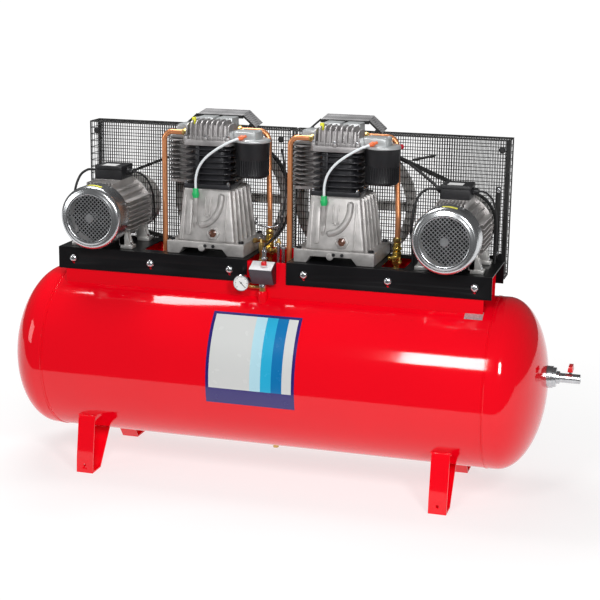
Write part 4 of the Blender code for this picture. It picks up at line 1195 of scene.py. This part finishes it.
for side, way in (("left", -1), ("right", 1)):
    low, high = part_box("belt_guard_" + side)
    near, far = 0.157, high.y
    inner, outer = (high.x, low.x) if way < 0 else (low.x, high.x)
    motor, pump = motors[side], pumps[side]
    grid = bmesh.new()
    count = int(round(abs(outer - inner) / upright_pitch))
    holes = ((motor.x, motor.z, 0.040, near), (pump.x, 0.975, 0.030, near))

    def front_gaps(x):
        """The heights, on the front sheet, where a wire at x stops for a shaft's hole."""
        gaps = []
        for centre_x, centre_z, radius, _ in holes:
            if abs(x - centre_x) < radius:
                half = math.sqrt(radius**2 - (x - centre_x) ** 2)
                gaps.append((centre_z - half, centre_z + half))
        return gaps

    for step in range(count + 1):
        x = inner + (outer - inner) * step / count
        x = min(max(x, low.x + wire_radius), high.x - wire_radius)
        wire(grid, (x, far - wire_radius, low.z), (x, far - wire_radius, high.z - 0.001), wire_radius)
        start = low.z + 0.060
        for floor_z, roof_z in sorted(front_gaps(x)):
            wire(grid, (x, near + wire_radius, start), (x, near + wire_radius, floor_z), wire_radius)
            start = roof_z
        wire(grid, (x, near + wire_radius, start), (x, near + wire_radius, high.z - 0.001), wire_radius)
        wire(
            grid, (x, near + wire_radius, high.z - wire_radius),
            (x, far - wire_radius, high.z - wire_radius), wire_radius
        )
    levels = int((high.z - low.z) / level_pitch)
    for step in range(levels + 1):
        z = high.z - 0.0016 - step * level_pitch
        wire(grid, (low.x, far - 0.0034, z), (high.x, far - 0.0034, z), wire_radius)
        if z > low.z + 0.060:
            spans = [(low.x, high.x)]
            for centre_x, centre_z, radius, _ in holes:
                if abs(z - centre_z) < radius:
                    half = math.sqrt(radius**2 - (z - centre_z) ** 2)
                    cut = []
                    for left, right in spans:
                        if left < centre_x - half and centre_x + half < right:
                            cut += [(left, centre_x - half), (centre_x + half, right)]
                        else:
                            cut.append((left, right))
                    spans = cut
            for left, right in spans:
                wire(grid, (left, near + 0.0034, z), (right, near + 0.0034, z), wire_radius)
        for x in (low.x + wire_radius, high.x - wire_radius):
            wire(grid, (x, near + 0.003, z), (x, far - 0.003, z), wire_radius)
    for y in (near + (far - near) / 3, near + (far - near) * 2 / 3):
        wire(grid, (low.x, y, high.z - 0.0034), (high.x, y, high.z - 0.0034), wire_radius)
    fit("guard_mesh_" + side, grid, guard_black, "frame", ["belt_guard_" + side])

    rim = bmesh.new()
    rim_radius = 0.0026
    for y in (near + rim_radius, far - rim_radius):
        wire(
            rim, (low.x + 0.001, y, high.z - rim_radius), (high.x - 0.001, y, high.z - rim_radius),
            rim_radius, 12
        )
        for x in (low.x + rim_radius, high.x - rim_radius):
            wire(rim, (x, y, low.z), (x, y, high.z - 0.001), rim_radius, 12)
        wire(
            rim, (low.x + 0.001, y, low.z + rim_radius), (high.x - 0.001, y, low.z + rim_radius),
            rim_radius, 12
        )
    for x in (low.x + rim_radius, high.x - rim_radius):
        for z in (low.z + rim_radius, high.z - rim_radius):
            wire(rim, (x, near + 0.002, z), (x, far - 0.002, z), rim_radius, 12)
    for centre_x, centre_z, radius, y in holes:
        ring = [(radius + 0.002, 0.004), (radius + 0.002, 0), (radius - 0.001, 0), (radius - 0.001, 0.004)]
        lathe(rim, ring, along_y(centre_x, y, centre_z, 1), 48, True)
    fit("guard_rim_" + side, rim, guard_black, "frame")

    plates = bmesh.new()
    corner = [(0.0, 0.0), (0.066, 0.0), (0.066, 0.078)]
    corner += [
        (0.012 - 0.012 * math.sin(math.radians(15 * step)), 0.078 + 0.012 * math.cos(math.radians(15 * step)))
        for step in range(7)
    ]
    corner_x = [(outer - way * x, low.z + z) for x, z in corner]
    slab(plates, corner_x, near - 0.0022, near + 0.0002)
    for x in (0.120, 0.720):
        centre = tank_x + way * x
        block(
            plates, (centre - 0.020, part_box("bed_plate_" + side)[1].y + 0.0003, 0.752),
            (centre + 0.020, near + 0.002, 0.755)
        )
        block(plates, (centre - 0.020, near - 0.003, 0.752), (centre + 0.020, near + 0.0005, 0.800))
        block(
            plates, (centre - 0.020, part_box("bed_plate_" + side)[1].y + 0.0003, 0.752),
            (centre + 0.020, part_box("bed_plate_" + side)[1].y + 0.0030, 0.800)
        )
    fit("guard_corners_" + side, plates, black_enamel, "frame", (), 0.0007, 2)

    fixings = bmesh.new()
    for x, z, y in (
        (outer - way * 0.028, high.z - 0.036, near), (outer - way * 0.038, low.z + 0.046, near - 0.002),
        (inner + way * 0.036, high.z - 0.036, near)
    ):
        lathe(
            fixings,
            [(0, 0.0050), (0.0070, 0.0046), (0.0090, 0.0020), (0.0115, 0.0018), (0.0118, 0), (0, 0)],
            along_y(x, y, z), 28
        )
    for x in (0.120, 0.720):
        hexagon(fixings, along_y(tank_x + way * x, near + 0.0008, 0.776, 1), 0.010, 0.005)
    fit("guard_fixings_" + side, fixings, black_rubber, "frame")

    strut = bmesh.new()
    strut_x = outer - way * 0.034
    strut_y = near - 0.0045
    block(strut, (strut_x - 0.0080, strut_y - 0.0020, 0.820), (strut_x + 0.0080, strut_y, 1.072))
    block(strut, (strut_x - 0.0080, strut_y - 0.0120, 0.820), (strut_x - 0.0060, strut_y, 1.072))
    fit("guard_strut_" + side, strut, guard_black, "frame", (), 0.0006, 1)
    nuts = bmesh.new()
    for z in (0.836, 1.060):
        hexagon(nuts, along_y(strut_x + 0.0005, strut_y - 0.002, z), 0.011, 0.006)
        lathe(
            nuts, [(0.003, 0.0012), (0.0085, 0.0012), (0.0085, 0), (0.003, 0)],
            along_y(strut_x + 0.0005, strut_y - 0.0018, z), 24, True
        )
    fit("guard_strut_nuts_" + side, nuts, zinc, "frame")

# The bright galvanised post at the far left end of the left guard.
post = bmesh.new()
low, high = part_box("belt_guard_left")
block(post, (low.x, high.y - 0.020, low.z + 0.05), (low.x + 0.0016, high.y - 0.0002, high.z - 0.004))
block(post, (low.x, high.y - 0.0022, low.z + 0.05), (low.x + 0.020, high.y - 0.0006, high.z - 0.004))
lathe(
    post, [(0.001, 0.0008), (0.0055, 0.0008), (0.0055, 0), (0.001, 0)],
    along_y(low.x + 0.010, high.y - 0.0006, high.z - 0.030), 20, True
)
galvanised = coating("galvanised_strip", (0.70, 0.71, 0.72), 0.45, 0.25, (90, 0.12), (500, 0.15))
fit("guard_post", post, galvanised, "frame", (), 0.0005, 1)

# The far right end of the right guard is closed by a broad black angle along its front corner.
edge_post = bmesh.new()
low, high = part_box("belt_guard_right")
block(edge_post, (high.x - 0.0130, 0.1545, low.z + 0.02), (high.x, 0.1565, high.z - 0.002))
block(edge_post, (high.x - 0.0018, 0.1545, low.z + 0.02), (high.x, 0.1700, high.z - 0.002))
fit("guard_edge_angle", edge_post, guard_black, "frame", (), 0.0006, 1)


# Air hoods: folded perforated sheet in grey paint over each flywheel, that turns the fan's air; its holes are
# dark dots of painted shade.
# A black lip hangs along the front, and screws through the flanks hold each to its guard.
def perforated(name, colour, holes, pitch):
    """A painted sheet with rows of round holes, drawn as dark dots of painted shade, worked out from its own
    place in space.
    """
    skin = coating(name, colour, 0.5, 0.2, (20, 0.2), (420, 0.3))
    nodes, links = skin.node_tree.nodes, skin.node_tree.links
    spot = nodes.new("ShaderNodeTexCoord")
    scale = nodes.new("ShaderNodeMapping")
    scale.inputs["Scale"].default_value = (1 / pitch, 1 / pitch, 1 / pitch)
    links.new(spot.outputs["Object"], scale.inputs["Vector"])
    cells = nodes.new("ShaderNodeTexVoronoi")
    cells.inputs["Scale"].default_value = 1
    cells.inputs["Randomness"].default_value = 0.12
    links.new(scale.outputs["Vector"], cells.inputs["Vector"])
    edge = nodes.new("ShaderNodeMapRange")
    edge.inputs["From Min"].default_value = 0.30
    edge.inputs["From Max"].default_value = 0.42
    links.new(cells.outputs["Distance"], edge.inputs["Value"])
    mix = nodes.new("ShaderNodeMix")
    mix.data_type = "RGBA"
    links.new(edge.outputs["Result"], mix.inputs["Factor"])
    # The dark hole colour is painted shade: the shadow seen through each hole.
    mix.inputs["A"].default_value = (*holes, 1)
    base = nodes["Principled BSDF"].inputs["Base Color"]
    links.new(base.links[0].from_socket, mix.inputs["B"])
    links.new(mix.outputs["Result"], base)
    return skin


# The near-black dots on the grey sheet are painted shade marking the holes.
hood_grey = perforated("hood_grey", (0.34, 0.335, 0.34), (0.05, 0.05, 0.055), 0.0062)
for side, pump in pumps.items():
    tidied("air_hood_sheet_" + side, "air_hood_" + side, hood_grey, 0.0005, 1)
    low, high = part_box("air_hood_" + side)
    lip = bmesh.new()
    block(
        lip, (low.x + 0.046, low.y - 0.0022, high.z - 0.0225),
        (high.x - 0.046, low.y - 0.0002, high.z - 0.0105)
    )
    for end, way in ((low.x, 1), (high.x, -1)):
        edge = block(lip, (0, low.y - 0.0022, -0.0034), (0.064, low.y - 0.0002, 0.0034))
        slope(
            lip, edge, -way * math.atan2(0.0437, 0.049) if way > 0 else math.atan2(0.0437, 0.049) + math.pi,
            (0, 0, 0)
        )
        bmesh.ops.translate(lip, vec=(end + way * 0.001, 0, low.z + 0.001), verts=edge)
    fit("air_hood_lip_" + side, lip, guard_black, "frame", (), 0.0006, 1)
    screws = bmesh.new()
    for x in (low.x + 0.018, high.x - 0.018):
        lathe(
            screws, [(0, 0.0050), (0.0050, 0.0046), (0.0066, 0.0018), (0.0066, 0), (0, 0)],
            along_y(x, low.y - 0.0010, low.z + 0.010), 24
        )
    fit("air_hood_screws_" + side, screws, black_rubber, "frame")


# Small things behind the right pump: a black stay to the guard, a red plug on the head's rear port,
# and a thin cable that runs from the pressure line to the terminal box.
stay = bmesh.new()
bar(stay, (tank_x + 0.447, 0.1515, 1.150), (tank_x + 0.523, 0.1515, 1.169), 0.0045, 16)
bar(stay, (tank_x + 0.523, 0.1515, 1.169), (tank_x + 0.523, 0.1600, 1.169), 0.0045, 16)
fit("guard_stay", stay, guard_black, "frame", (), 0.0006, 1)
plug = bmesh.new()
lathe(
    plug,
    [(0, 0.016), (0.0060, 0.016), (0.0078, 0.014), (0.0078, 0.004), (0.0095, 0.003), (0.0095, 0), (0, 0)],
    along_y(tank_x + 0.404, 0.1560, 1.194), 24
)
fit(
    "guard_plug", plug, coating("plug_red", (0.62, 0.008, 0.03), 0.35, 0.0, (60, 0.1), (300, 0.1)), "frame",
    (), 0.0005, 1
)
start = motors["right"] + Vector((-0.074, 0.046, 0.138))
gland = bmesh.new()
gland_seat = Matrix.Translation(motors["right"] + Vector((-0.049, 0.046, 0.138)))
hexagon(gland, gland_seat @ Matrix.Rotation(-math.pi / 2, 4, "Y"), 0.016, 0.026)
fit("stay_gland_right", gland, black_plastic, "frame", (), 0.0005, 1)
target = pumps["right"] + Vector((0.098, 0.149, 1.196))
lean = target - start
line = [
    start, start + lean * 0.12 + Vector((0, 0.010, 0.002)), start + lean * 0.5 + Vector((0, 0.030, 0.002)),
    start + lean * 0.88 + Vector((0, 0.012, 0)), target,
]
hose("box_conduit_right", line, 0.0052, black_rubber, "frame", "black_rubber")


# Pressure switch: a dark plastic housing with a pale sloping lid, and a red knob that lifts to start the set.
# It stands on a brass manifold screwed into the tank, with a relief pipe and its nut behind.
switch_face = coating("switch_grey", (0.058, 0.050, 0.062), 0.40, 0.0, (30, 0.15), (700, 0.3))
lid_white = coating("switch_lid_white", (0.74, 0.74, 0.75), 0.32, 0.0, (30, 0.05), (700, 0.15))
knob_red = coating("knob_red", (0.72, 0.012, 0.018), 0.30, 0.0, (40, 0.08), (500, 0.15), coat=0.3)
low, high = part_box("pressure_switch_body")
left, right = low.x, high.x
profile = [(-0.160, 0.733), (-0.192, 0.788), (-0.140, 0.8105), (-0.1338, 0.8105), (-0.1338, 0.733)]
housing = bmesh.new()
slab(housing, profile, left, right, "X")
fit("switch_housing", housing, switch_face, "frame", ["pressure_switch_body"], 0.0030, 3)
cheek = bmesh.new()
slab(
    cheek, [(-0.158, 0.734), (-0.1905, 0.788), (-0.140, 0.8095), (-0.1345, 0.8095), (-0.1345, 0.734)],
    right, right + 0.0012, "X"
)
slab(
    cheek, [(-0.158, 0.734), (-0.1905, 0.788), (-0.140, 0.8095), (-0.1345, 0.8095), (-0.1345, 0.734)],
    left - 0.0012, left, "X"
)
fit("switch_cheeks", cheek, black_plastic, "frame", (), 0.0005, 1)

lid = bmesh.new()
tilt = math.atan2(0.0225, 0.052)
plate = block(lid, (left + 0.001, 0.002, 0), (right - 0.001, 0.0535, 0.0030))
slope(lid, plate, tilt, (0, 0, 0), "X")
bmesh.ops.translate(lid, vec=(0, -0.1920, 0.7885), verts=plate)
knob_low, knob_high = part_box("pressure_switch_knob")
knob_x, knob_y = (knob_low.x + knob_high.x) / 2, (knob_low.y + knob_high.y) / 2
lathe(
    lid, [(0.0105, 0.0034), (0.0125, 0.0034), (0.0130, 0.0016), (0.0130, 0), (0.0105, 0)],
    upright(knob_x, knob_y, 0.8012), 36, True
)
fit("switch_lid", lid, lid_white, "frame", (), 0.0009, 2)

knob = bmesh.new()
height = knob_high.z - knob_low.z
lathe(
    knob,
    [
        (0, height), (0.0070, height), (0.0088, height - 0.0014), (0.0092, height - 0.004), (0.0078, 0.002),
        (0.0078, 0), (0, 0)
    ],
    upright(knob_x, knob_y, knob_low.z), 24
)
for step in range(12):
    rib = block(knob, (0.0080, -0.0009, 0.001), (0.0096, 0.0009, height - 0.0025))
    bmesh.ops.rotate(knob, cent=(0, 0, 0), matrix=Matrix.Rotation(math.tau * step / 12, 3, "Z"), verts=rib)
    bmesh.ops.translate(knob, vec=(knob_x, knob_y, knob_low.z), verts=rib)
fit("switch_knob_cap", knob, knob_red, "switch_knob", ["pressure_switch_knob"], 0.0004, 1)

fittings = bmesh.new()
hexagon(fittings, upright(tank_x - 0.010, -0.148, 0.7215), 0.026, 0.0112)
lathe(
    fittings, [(0, 0.046), (0.0050, 0.046), (0.0050, 0.030), (0.0078, 0.029), (0.0078, 0), (0, 0)],
    upright(tank_x - 0.013, -0.120, 0.812), 28
)
hexagon(fittings, upright(tank_x - 0.013, -0.120, 0.8125), 0.022, 0.010)
hexagon(fittings, upright(tank_x - 0.013, -0.120, 0.838), 0.018, 0.009)
fit("switch_fittings", fittings, zinc, "frame", (), 0.0004, 1)


# Manifold, pressure gauge and safety valve: turned and forged brass below and beside the switch.
# The gauge has a bright rim, a white dial with plain ticks and a black needle; the valve has a pull ring.
tidied("manifold_body", "manifold", brass, 0.0008)
socket = bmesh.new()
lathe(
    socket, [(0.0122, 0.7080), (0.0150, 0.7080), (0.0165, 0.7050), (0.0165, 0.6560), (0.0122, 0.6560)],
    upright(tank_x - 0.010, -0.148, 0), 32, True
)
fit("manifold_socket", socket, red_enamel, "frame", (), 0.0006, 2)
low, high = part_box("gauge_body")
gauge = Vector(((low.x + high.x) / 2, low.y, (low.z + high.z) / 2))
radius = (high.x - low.x) / 2
chrome = coating("bright_rim", (0.72, 0.73, 0.75), 0.12, 1.0, (30, 0.05), (300, 0.05))
case = bmesh.new()
section = [
    (0, 0), (radius - 0.002, 0), (radius, -0.003), (radius, -0.0235), (radius - 0.0010, -0.0250),
    (radius - 0.0022, -0.0250), (radius - 0.0028, -0.0236), (radius - 0.0028, -0.0205), (0, -0.0205)
]
lathe(case, section, along_y(gauge.x, high.y, gauge.z, 1), 72)
bar(case, (gauge.x, high.y - 0.003, gauge.z), (gauge.x, high.y + 0.006, gauge.z), 0.0065, 24)
fit("gauge_case", case, chrome, "frame", ["gauge_body"], 0.0, 1)

dial_white = coating("dial_white", (0.86, 0.86, 0.85), 0.45, 0.0, (40, 0.02), (300, 0.03))
dial_y = high.y - 0.0205
dial = bmesh.new()
lathe(
    dial, [(0, 0.0008), (radius - 0.0030, 0.0008), (radius - 0.0030, 0), (0, 0)],
    along_y(gauge.x, dial_y, gauge.z), 64
)
fit("gauge_dial", dial, dial_white, "frame", (), 0.0, 1)

print_black = coating("dial_black", (0.02, 0.02, 0.022), 0.5, 0.0, (60, 0.2), (300, 0.05))
marks = bmesh.new()
for step in range(31):
    turn = math.radians(225 - 9 * step)
    longer = step % 5 == 0
    tick = block(
        marks, (radius - (0.0105 if longer else 0.0080), -0.0003, -(0.0006 if longer else 0.0003)),
        (radius - 0.0052, 0, 0.0006 if longer else 0.0003)
    )
    slope(marks, tick, -turn, (0, 0, 0))
    bmesh.ops.translate(marks, vec=(gauge.x, dial_y - 0.0008, gauge.z), verts=tick)
fit("gauge_ticks", marks, print_black, "frame", (), 0.0, 1)
tidied("gauge_pointer", "gauge_needle", print_black, 0.0002, 1)

tidied("safety_valve_brass", "safety_valve_body", brass, 0.0006)
tidied("safety_valve_pull", "safety_valve_ring", ground_steel, 0.0003)
tidied("condensate_plug", "drain_plug", brass, 0.0006)


# The cluster of pipes between the pumps: unloader lines from both check valves meet behind the switch.
# A thin bright tube loops under the left pump, and a black hose drops from the head behind it.
silver_tube = coating("silver_tube", (0.66, 0.67, 0.70), 0.22, 0.95, (30, 0.06), (300, 0.08))
black_hose = coating("black_hose", (0.015, 0.015, 0.017), 0.5, 0.0, (30, 0.3), (600, 0.3))
loop = [
    (-0.094, 0.052, 0.930), (-0.098, 0.050, 0.912), (-0.086, 0.040, 0.903), (-0.051, 0.030, 0.900),
    (-0.022, 0.038, 0.902), (-0.006, 0.050, 0.914), (-0.002, 0.056, 0.940)
]
hose(
    "unloader_loop", [Vector((tank_x, 0, 0)) + Vector(point) for point in loop], 0.0032, silver_tube,
    "frame", "zinc_steel"
)
drop = [
    (-0.024, 0.120, 1.170), (-0.017, 0.120, 1.121), (-0.008, 0.118, 1.040), (-0.008, 0.110, 0.985),
    (-0.004, 0.060, 0.935), (0.004, 0.000, 0.900), (-0.010, -0.060, 0.868), (-0.013, -0.104, 0.862),
    (-0.013, -0.119, 0.857)
]
hose(
    "unloader_hose", [Vector((tank_x, 0, 0)) + Vector(point) for point in drop], 0.0040, black_hose,
    "frame", "black_rubber"
)
tee = bmesh.new()
x = tank_x - 0.049
for start, end, thick, sides in (
    ((x - 0.002, 0.022, 0.816), (x + 0.052, 0.004, 0.822), 0.0065, 20),
    ((x + 0.010, 0.018, 0.817), (x + 0.020, 0.0145, 0.818), 0.0115, 6),
    ((x + 0.036, 0.009, 0.820), (x + 0.044, 0.007, 0.821), 0.0105, 6),
    ((x + 0.050, 0.005, 0.800), (x + 0.050, 0.005, 0.866), 0.0060, 20),
    ((x + 0.050, 0.005, 0.846), (x + 0.050, 0.005, 0.856), 0.0105, 6),
    ((x - 0.030, -0.020, 0.858), (x - 0.004, 0.016, 0.850), 0.0055, 20),
    ((x - 0.033, -0.024, 0.859), (x - 0.026, -0.014, 0.857), 0.0095, 6),
):
    bar(tee, start, end, thick, sides)
fit("unloader_tees", tee, brass, "frame", (), 0.0006, 2)
posts = bmesh.new()
for x, y, z, top, thick in (
    (0.010, -0.030, 0.770, 0.858, 0.0045), (0.026, -0.020, 0.770, 0.846, 0.0060),
    (0.036, 0.010, 0.770, 0.870, 0.0040)
):
    bar(posts, (tank_x + x, y, z), (tank_x + x, y, top), thick, 20)
    hexagon(posts, upright(tank_x + x, y, top - 0.012), thick * 3.4, 0.009)
fit("cluster_posts", posts, silver_tube, "frame", (), 0.0004, 1)


# Outlet: a red socket welded into the right dished end, a zinc reducer and a small brass ball valve.
# A red butterfly handle on top turns a quarter turn to close it.
tidied("outlet_ball_valve", "outlet_valve_body", zinc, 0.0007)
handle_red = coating("handle_red", (0.74, 0.010, 0.012), 0.30, 0.0, (40, 0.08), (400, 0.15), coat=0.4)
tidied("outlet_butterfly", "outlet_valve_handle", handle_red, 0.0012, 3)
low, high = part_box("outlet_valve_handle")
nut = bmesh.new()
hexagon(nut, upright((low.x + high.x) / 2, 0, low.z + 0.0005), 0.010, 0.0065)
fit("outlet_stem_nut", nut, zinc, "outlet_handle")


# Floor, light and camera: a pale studio sweep, a large soft light overhead and long ones in front.
def stage_skin(name, colour, roughness):
    skin = bpy.data.materials.new(name)
    skin.use_nodes = True
    shader = skin.node_tree.nodes["Principled BSDF"]
    shader.inputs["Base Color"].default_value = (*colour, 1)
    shader.inputs["Roughness"].default_value = roughness
    shader.inputs["Specular IOR Level"].default_value = 0.2
    return skin


paper = stage_skin("floor_paper", (0.30, 0.30, 0.30), 0.8)
nodes, links = paper.node_tree.nodes, paper.node_tree.links
spot = nodes.new("ShaderNodeTexCoord")
away = nodes.new("ShaderNodeVectorMath")
away.operation = "LENGTH"
links.new(spot.outputs["Object"], away.inputs[0])
glow = nodes.new("ShaderNodeMapRange")
glow.inputs["From Min"].default_value = 0.9
glow.inputs["From Max"].default_value = 3.2
glow.inputs["To Min"].default_value = 0.70
glow.inputs["To Max"].default_value = 1.0
links.new(away.outputs["Value"], glow.inputs["Value"])
nodes["Principled BSDF"].inputs["Emission Color"].default_value = (1, 1, 1, 1)
links.new(glow.outputs["Result"], nodes["Principled BSDF"].inputs["Emission Strength"])
sweep = bmesh.new()
sheet = bmesh.ops.create_grid(sweep, x_segments=1, y_segments=1, size=1)["verts"]
bmesh.ops.scale(sweep, vec=(14, 7, 1), verts=sheet)
bmesh.ops.translate(sweep, vec=(0, 7 - 1.05, -0.0005), verts=sheet)
floor_mesh = bpy.data.meshes.new("floor")
sweep.to_mesh(floor_mesh)
sweep.free()
floor_mesh.materials.append(paper)
floor = bpy.data.objects.new("floor", floor_mesh)
bpy.context.scene.collection.objects.link(floor)


def soft_light(name, spot, aim, size, power, colour=(1, 1, 1)):
    lamp = bpy.data.lights.new(name, "AREA")
    lamp.shape = "RECTANGLE"
    lamp.size, lamp.size_y = size
    lamp.energy = power
    lamp.color = colour
    holder = bpy.data.objects.new(name, lamp)
    holder.location = spot
    holder.rotation_euler = (Vector(aim) - Vector(spot)).to_track_quat("-Z", "Y").to_euler()
    bpy.context.scene.collection.objects.link(holder)
    return holder


soft_light("overhead", (tank_x - 1.0, 0.60, 3.6), (tank_x - 0.2, -0.1, 0.6), (2.2, 0.7), 70)
soft_light("window", (tank_x + 0.17, -2.65, 2.35), (tank_x + 0.3, -0.2, 0.5), (0.5, 0.8), 32)
soft_light("key", (tank_x + 2.2, -2.9, 2.4), (tank_x + 0.2, 0, 0.6), (0.6, 0.9), 72)
soft_light("left_fill", (tank_x - 3.6, -2.4, 1.7), (tank_x, 0, 0.7), (1.5, 1.5), 28)

world = bpy.data.worlds.new("studio")
world.use_nodes = True
air = world.node_tree
sky = air.nodes["Background"]
sky.inputs["Color"].default_value = (1, 1, 1, 1)
sky.inputs["Strength"].default_value = 0.10
backdrop = air.nodes.new("ShaderNodeBackground")
backdrop.inputs["Color"].default_value = (1, 1, 1, 1)
backdrop.inputs["Strength"].default_value = 1.05
seen = air.nodes.new("ShaderNodeLightPath")
either = air.nodes.new("ShaderNodeMixShader")
air.links.new(seen.outputs["Is Camera Ray"], either.inputs["Fac"])
air.links.new(sky.outputs["Background"], either.inputs[1])
air.links.new(backdrop.outputs["Background"], either.inputs[2])
air.links.new(either.outputs["Shader"], air.nodes["World Output"].inputs["Surface"])
bpy.context.scene.world = world
bpy.context.scene.view_settings.view_transform = "Standard"

eye = bpy.data.cameras.new("camera")
eye.sensor_width = 36
eye.lens = 87.7
eye.shift_x = 0.0212
eye.shift_y = -0.0062
camera = bpy.data.objects.new("camera", eye)
camera.matrix_world = (
    Matrix.Translation((1.4119, -4.882, 1.866))
    @ Matrix.Rotation(0.285, 4, "Z")
    @ Matrix.Rotation(math.pi / 2 - 0.233, 4, "X")
    @ Matrix.Rotation(0.012, 4, "Z")
)
bpy.context.scene.collection.objects.link(camera)
bpy.context.scene.camera = camera
